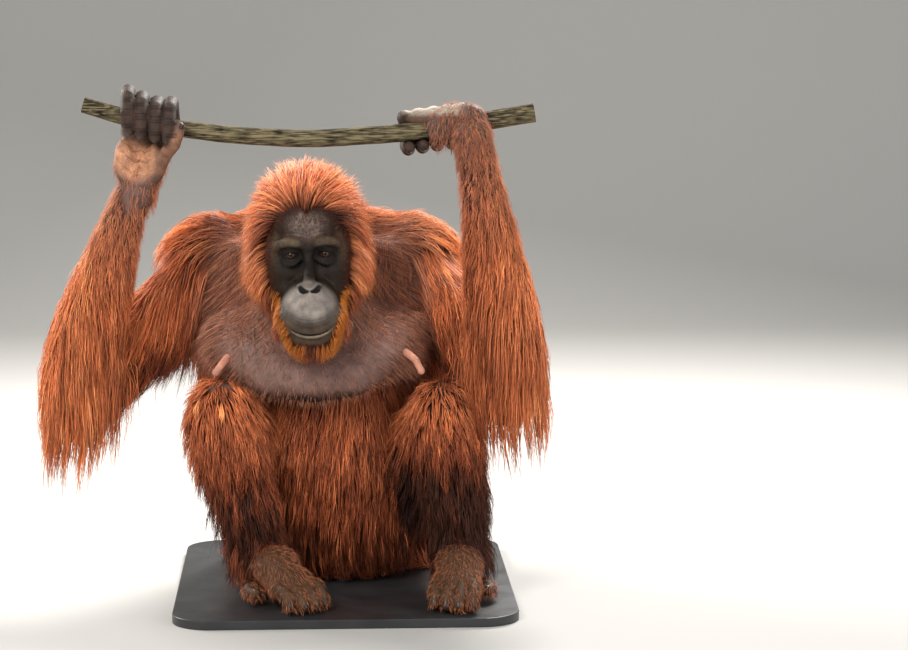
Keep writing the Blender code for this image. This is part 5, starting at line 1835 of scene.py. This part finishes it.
def nail_plate(before, tip, out):
    """A plate on the last bone of a finger, whose stations are (x, y, z, radius), with sizes in radii."""
    before, spot, radius = np.array(before[:3]), np.array(tip[:3]), tip[3]
    along = unit(spot - before)
    out = unit(np.array(out) - along * np.dot(out, along))
    across = np.cross(along, out)
    points, faces, _ = ball_net(np.linspace(0, math.pi, 9), 14)
    shape = points * NAIL_SIZES
    bend = np.sqrt(1 - shape[:, :1] ** 2) - 1
    shape = shape @ np.stack([across, along, out])
    return spot + radius * (shape + out * (NAIL_SET_OUT + bend) - along * NAIL_SET_BACK), faces


def nail_piece(name, plates):
    points, faces = zip(*plates)
    starts = np.cumsum([0] + [len(p) for p in points[:-1]])
    return mesh_object(name, np.concatenate(points), np.concatenate([f + s for f, s in zip(faces, starts)]))


THUMB_OUT = {"right": (0.5, -0.8, 0.0), "left": (0.5, 0.8, 0.0)}
nail_horn, tree, shader = new_material("nail", 0.35, Specular_IOR_Level=0.35)
grain = ramp(
    tree, noise(tree, place_on(tree), 300.0, 3.0),
    ((0.35, (0.020, 0.013, 0.010)), (0.65, (0.055, 0.038, 0.030)))
)
tree.links.new(grain, shader.inputs["Base Color"])
nails = {}
for side in SIDES:
    digits, thumb_line = digits_of(side), (right_thumb if side == "right" else left_thumb)()
    plates = [nail_plate(*d[-2:], np.array(d[-1][:3]) - vine_at(d[-1][0])[0]) for d in digits]
    nails[f"nails_hand_{side}"] = [*plates, nail_plate(*thumb_line[-2:], THUMB_OUT[side])]
    plates = [nail_plate(*toe(side, k)[-3:-1], flat_ahead(side)[0]) for k in range(4)]
    nails[f"nails_foot_{side}"] = [*plates, nail_plate(*big_toe(side)[-2:], -DOWN)]
nails = {name: nail_piece(name, plates) for name, plates in nails.items()}
for piece in nails.values():
    piece.data.materials.append(nail_horn)
    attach(piece, "root")
print("nails:", sum(len(piece.data.polygons) for piece in nails.values()), "faces")

# %% Ears and nipples
EAR = {"right": -1, "left": 1}


def ear_piece(side, sign):
    """A small folded ear: a flat ball with a cup carved out of its front."""
    flesh = Flesh((-0.085, -0.060, -0.040), (0.085, 0.010, 0.040), 0.0016)
    middle = np.array((sign * 0.0655, -0.022, 0.002))
    cup = Ball(middle + (sign * 0.0055, -0.003, 0.001), (0.0048, 0.0100, 0.0150), yaw=sign * -20)
    flesh.add([Ball(middle, (0.0070, 0.0150, 0.0210), yaw=sign * -20)], 0.002)
    flesh.carve([cup], 0.0025)
    points, faces = skin_net(flesh)
    return mesh_object(f"ear_{side}_cup", head_to_world(points), faces)


NIPPLES = {
    "right": ((-0.1420, -0.1680, 0.3690), (-0.1520, -0.1840, 0.3580), (-0.1600, -0.1880, 0.3480)),
    "left": ((0.1300, -0.1660, 0.3740), (0.1440, -0.1815, 0.3640), (0.1520, -0.1860, 0.3480)),
}


def nipple_piece(side):
    stations = [(*spot, size) for spot, size in zip(NIPPLES[side], (0.0062, 0.0055, 0.0048))]
    low, high = np.min(NIPPLES[side], axis=0) - 0.012, np.max(NIPPLES[side], axis=0) + 0.012
    flesh = Flesh(low, high, 0.0011)
    flesh.add(chain(stations), 0.001)
    flesh.add([Ball(NIPPLES[side][-1], 0.0053)], 0.002)
    return mesh_object(f"nipple_{side}_skin", *skin_net(flesh))


nipple_skin = skin_material("nipple skin", (0.700, 0.320, 0.215), (), 600.0, 0.7, 0.5)
ears, nipples = {}, {}
for side, sign in EAR.items():
    ears[side], nipples[side] = ear_piece(side, sign), nipple_piece(side)
    ears[side].data.materials.append(foot_skin)
    nipples[side].data.materials.append(nipple_skin)
    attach(ears[side], "root")
    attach(nipples[side], "root")
print("ears and nipples:", sum(len(o.data.polygons) for o in (*ears.values(), *nipples.values())), "faces")

# %% [markdown]
# ## The vine
# A length of climbing stem is a path with a ring swept along it, so it is made by Geometry Nodes:
# the tree takes the path, a bark depth and a grain, sweeps a ring, then pushes the surface out and
# in by noise that is stretched along the stem. The result is turned into plain mesh at once.


# %% A Geometry Nodes tree that grows bark on a path
BARK_INPUTS = (
    ("Bark Depth", 0.0012), ("Grain", 260.0), ("Knot Depth", 0.0016), ("Sides", 32), ("Steps", 300)
)


def bark_tree():
    tree = bpy.data.node_groups.new("bark on a path", "GeometryNodeTree")
    tree.interface.new_socket("Path", in_out="INPUT", socket_type="NodeSocketGeometry")
    keys = {}
    for label, value in BARK_INPUTS:
        kind = "NodeSocketInt" if isinstance(value, int) else "NodeSocketFloat"
        socket = tree.interface.new_socket(label, in_out="INPUT", socket_type=kind)
        socket.default_value = value
        keys[label] = socket.identifier
    material = tree.interface.new_socket("Bark", in_out="INPUT", socket_type="NodeSocketMaterial")
    keys["Bark"] = material.identifier
    tree.interface.new_socket("Stem", in_out="OUTPUT", socket_type="NodeSocketGeometry")
    into, out = tree.nodes.new("NodeGroupInput"), tree.nodes.new("NodeGroupOutput")

    def step(kind, values=None, **settings):
        return add(tree, kind, values, **settings)

    finer = step(
        "GeometryNodeResampleCurve", {"Curve": into.outputs["Path"], "Count": into.outputs["Steps"]}
    )
    ring = step("GeometryNodeCurvePrimitiveCircle", {"Resolution": into.outputs["Sides"], "Radius": 1.0})
    width = step("GeometryNodeInputRadius")
    swept = step(
        "GeometryNodeCurveToMesh",
        {"Curve": finer.outputs[0], "Profile Curve": ring.outputs[0], "Fill Caps": True}
    )
    if "Scale" in swept.inputs:
        tree.links.new(width.outputs[0], swept.inputs["Scale"])
    place = step("GeometryNodeInputPosition")
    along = step("ShaderNodeVectorMath", {0: place.outputs[0], 1: (0.16, 1.0, 1.0)}, operation="MULTIPLY")
    bark = noise(tree, along.outputs[0], into.outputs["Grain"], 4.0)
    knots = noise(tree, place.outputs[0], 32.0, 2.0)
    fine = math_node(tree, "MULTIPLY", math_node(tree, "SUBTRACT", bark), into.outputs["Bark Depth"])
    coarse = math_node(tree, "MULTIPLY", math_node(tree, "SUBTRACT", knots), into.outputs["Knot Depth"])
    normal = step("GeometryNodeInputNormal")
    out_by = {0: normal.outputs[0], "Scale": math_node(tree, "ADD", fine, coarse)}
    push = step("ShaderNodeVectorMath", out_by, operation="SCALE")
    moved = step("GeometryNodeSetPosition", {"Geometry": swept.outputs[0], "Offset": push.outputs[0]})
    realized = step("GeometryNodeRealizeInstances", {0: moved.outputs[0]})
    finish = step(
        "GeometryNodeSetMaterial", {"Geometry": realized.outputs[0], "Material": into.outputs["Bark"]}
    )
    tree.links.new(finish.outputs[0], out.inputs[0])
    return tree, keys


def made_by(tree, keys, name, source, values):
    """Runs a tree on an object and returns what it makes as plain mesh."""
    grown = source.modifiers.new("grow", "NODES")
    grown.node_group = tree
    for label, value in values.items():
        grown[keys[label]] = value
    graph = bpy.context.evaluated_depsgraph_get()
    mesh = bpy.data.meshes.new_from_object(source.evaluated_get(graph))
    source.modifiers.remove(grown)
    bpy.data.objects.remove(source)
    mesh.name = name
    return placed(name, mesh)


# %% Bark and the vine itself
bark_material, tree, shader = new_material("bark", 0.85, Specular_IOR_Level=0.2)
where = place_on(tree)
stretched = add(tree, "ShaderNodeMapping", {"Vector": where, "Scale": (0.09, 1.0, 1.0)}).outputs[0]
streaks, lichen = noise(tree, stretched, 420.0, 6.0), noise(tree, where, 45.0, 5.0)
CRACK, BARK_BROWN, DRY = (0.010, 0.007, 0.004), (0.062, 0.046, 0.025), (0.220, 0.178, 0.100)
brown = ramp(tree, streaks, ((0.38, CRACK), (0.50, BARK_BROWN), (0.64, DRY)))
patchy = math_node(tree, "MULTIPLY", ramp(tree, lichen, ((0.45, (0, 0, 0)), (0.62, (1, 1, 1)))), 0.30)
tree.links.new(mix(tree, patchy, brown, (0.200, 0.172, 0.092)), shader.inputs["Base Color"])
rough = add(tree, "ShaderNodeBump", {"Strength": 0.6, "Distance": 0.0010, "Height": streaks})
tree.links.new(rough.outputs["Normal"], shader.inputs["Normal"])

path = bpy.data.curves.new("vine path", "CURVE")
path.dimensions = "3D"
stem = path.splines.new("POLY")
reach = np.linspace(VINE[0, 0], VINE[-1, 0], 60)
stem.points.add(len(reach) - 1)
heights, widths_of = np.interp(reach, VINE[:, 0], VINE[:, 1]), np.interp(reach, VINE[:, 0], VINE[:, 2])
for _ in range(6):
    heights[1:-1] = (heights[:-2] + 2 * heights[1:-1] + heights[2:]) / 4
for point, x, z, wide in zip(stem.points, reach, heights, widths_of):
    point.co = (x, VINE_Y, z + SEAT, 1)
    point.radius = wide
vine = made_by(
    *bark_tree(), "vine_bark", placed("vine path", path),
    {"Bark Depth": 0.0014, "Grain": 230.0, "Bark": bark_material}
)
vine.data.polygons.foreach_set("use_smooth", np.ones(len(vine.data.polygons), bool))
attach(vine, "root")
print("vine:", len(vine.data.polygons), "faces,", [round(x, 3) for x in vine.dimensions])

# %% [markdown]
# ## The stand
# A plain dark board with rounded corners, thin enough to be overlooked, and a short post that takes
# the weight under the belly. The board's edges are bevelled so that they catch a line of light.

# %% Stand
BOARD, BOARD_MIDDLE, CORNER = (0.520, 0.600, 0.014), (0.035, -0.045), 0.060
ROD_PLACE, ROD_RADIUS, ROD_TOP = (0.032, -0.075), 0.006, 0.030


def rounded_board():
    outline = []
    for cx, cy, start in ((1, 1, 0), (-1, 1, 90), (-1, -1, 180), (1, -1, 270)):
        for turn in np.radians(start + np.linspace(0, 90, 16)):
            x = BOARD_MIDDLE[0] + cx * (BOARD[0] / 2 - CORNER) + CORNER * math.cos(turn)
            outline.append((x, BOARD_MIDDLE[1] + cy * (BOARD[1] / 2 - CORNER) + CORNER * math.sin(turn)))
    many = len(outline)
    points = [(*spot, height) for height in (0.0, BOARD[2]) for spot in outline]
    mesh = bpy.data.meshes.new("stand_board")
    walls = [(k, (k + 1) % many, many + (k + 1) % many, many + k) for k in range(many)]
    mesh.from_pydata(points, [], [tuple(range(many))[::-1], tuple(range(many, 2 * many)), *walls])
    board = placed("stand_board", mesh)
    edge = board.modifiers.new("soft edge", "BEVEL")
    edge.width, edge.segments, edge.limit_method = 0.0015, 3, "ANGLE"
    return board


def short_post():
    """A rod that widens to a low foot, as rings of (height, share of the radius)."""
    sides, rows = 32, ((0.0, 1.45), (0.0015, 1.45), (0.0020, 1.0), (ROD_TOP, 1.0))
    turns = np.linspace(0, 2 * math.pi, sides, endpoint=False)
    ring = np.stack([np.cos(turns), np.sin(turns), 0 * turns], 1) * ROD_RADIUS
    points = np.concatenate([(*ROD_PLACE, height) + ring * wide for height, wide in rows])
    low = np.arange(sides * (len(rows) - 1))
    following = low - low % sides + (low + 1) % sides
    faces = np.stack([low, following, following + sides, low + sides], 1)
    return mesh_object("stand_post", points, faces, smooth=False)


board, post = rounded_board(), short_post()
lacquer, tree, shader = new_material("stand lacquer", 0.35)
dust = noise(tree, place_on(tree), 18.0, 5.0)
near_black = ramp(tree, dust, ((0.3, (0.022, 0.022, 0.023)), (0.7, (0.034, 0.034, 0.036))))
tree.links.new(near_black, shader.inputs["Base Color"])
tree.links.new(ramp(tree, dust, ((0.3, (0.30,) * 3), (0.7, (0.48,) * 3))), shader.inputs["Roughness"])
for piece in (board, post):
    piece.data.materials.append(lacquer)
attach(board, "root")
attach(post, "root")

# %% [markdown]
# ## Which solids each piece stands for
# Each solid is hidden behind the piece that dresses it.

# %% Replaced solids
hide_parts("face", "jaw", "throat_pouch")
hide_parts("neck", "breast_right", "breast_left")
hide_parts("head")
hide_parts("beard")
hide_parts("torso")
for side in SIDES:
    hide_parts(f"forearm_{side}")
    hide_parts(f"upper_arm_{side}")
    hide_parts(f"thigh_{side}", f"shin_{side}")
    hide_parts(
        f"foot_{side}", f"big_toe_{side}", *[f"toe_{side}_{k}" for k in (1, 2, 3, 4)]
    )
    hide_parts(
        f"palm_{side}", f"thumb_{side}",
        *[f"finger_{side}_{k}" for k in (1, 2, 3, 4)]
    )
    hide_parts(f"eye_{side}")
    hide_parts(f"ear_{side}")
    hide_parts(f"nipple_{side}")
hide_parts("vine")
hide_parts("stand_base")
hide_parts("stand_rod")
for piece in nails.values():
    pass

# %% [markdown]
# ## Studio
# The camera stands where the photographer stood, a little above her head's height and some four
# metres off, with a long lens. The light is soft and broad from the upper front, and two lights
# from behind set the edge of the coat aglow.

# %% Camera, floor and lights
scene = bpy.context.scene
camera = placed("camera", bpy.data.cameras.new("camera"))
camera.location = (0.0, -4.26869, 0.92012 + SEAT)
camera.rotation_euler = Vector((0.04904, 0.99133, -0.12187)).to_track_quat("-Z", "Y").to_euler()
camera.data.sensor_fit, camera.data.sensor_width, camera.data.lens = "HORIZONTAL", 36.0, 2709 * 36 / 908
scene.camera = camera

BEND, BACK_WALL, TOP = 1.6, 3.2, 7.0
turns = np.radians(np.linspace(0, 90, 24))
bent = [(BACK_WALL + BEND * math.sin(t), BEND - BEND * math.cos(t)) for t in turns]
profile = [(-9.0, 0.0), *bent, (BACK_WALL + BEND, TOP)]
sheet = [(x, y, z) for y, z in profile for x in (-9, 9)]
strips = [(2 * k, 2 * k + 1, 2 * k + 3, 2 * k + 2) for k in range(len(profile) - 1)]
floor_mesh = bpy.data.meshes.new("floor")
floor_mesh.from_pydata(sheet, [], strips)
floor_mesh.polygons.foreach_set("use_smooth", np.ones(len(strips), bool))
floor = placed("floor", floor_mesh)
floor_finish, tree, shader = new_material("pale floor", 0.9)
shader.inputs["Base Color"].default_value = (0.50, 0.49, 0.47, 1)
floor_mesh.materials.append(floor_finish)
floor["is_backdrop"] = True


def area_light(name, place, aim, size, power, colour):
    lamp = bpy.data.lights.new(name, "AREA")
    lamp.shape, lamp.size, lamp.energy, lamp.color = "DISK", size, power, colour
    obj = placed(name, lamp)
    obj.location = place
    obj.rotation_euler = (Vector(aim) - Vector(place)).to_track_quat("-Z", "Y").to_euler()


MIDDLE = (0, -0.05, 0.42)
area_light("key", (-1.5, -2.7, 2.5), MIDDLE, 1.5, 92, (1.0, 0.97, 0.93))
area_light("fill", (2.4, -2.4, 1.3), MIDDLE, 2.2, 38, (0.93, 0.96, 1.0))
area_light("back rim", (0.9, 1.7, 2.3), MIDDLE, 1.2, 135, (1.0, 0.98, 0.95))
area_light("side rim", (-1.9, 1.2, 1.6), MIDDLE, 1.2, 78, (1.0, 0.98, 0.95))

world = bpy.data.worlds.new("studio")
scene.world = world
world.use_nodes = True
sky = {"Color": (0.86, 0.86, 0.85, 1), "Strength": 0.55}
fill_in(world.node_tree, world.node_tree.nodes["Background"], sky)
scene.view_settings.view_transform = "Standard"
scene.view_settings.look = "None"

# %% Triangle counts and the size at the end
others = [piece for made in (skins, nails, eyes, ears, nipples) for piece in made.values()]
dressed = [*COAT, *others, vine, board, post]
counts = {piece.name: sum(len(face.vertices) - 2 for face in piece.data.polygons) for piece in dressed}
coat_total = sum(counts[piece.name] for piece in COAT)
print("triangles: coat", coat_total, "all", sum(counts.values()), "most in one piece", max(counts.values()))
size_at_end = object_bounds()
told("size at the end:", [[round(x, 3) for x in corner] for corner in size_at_end])
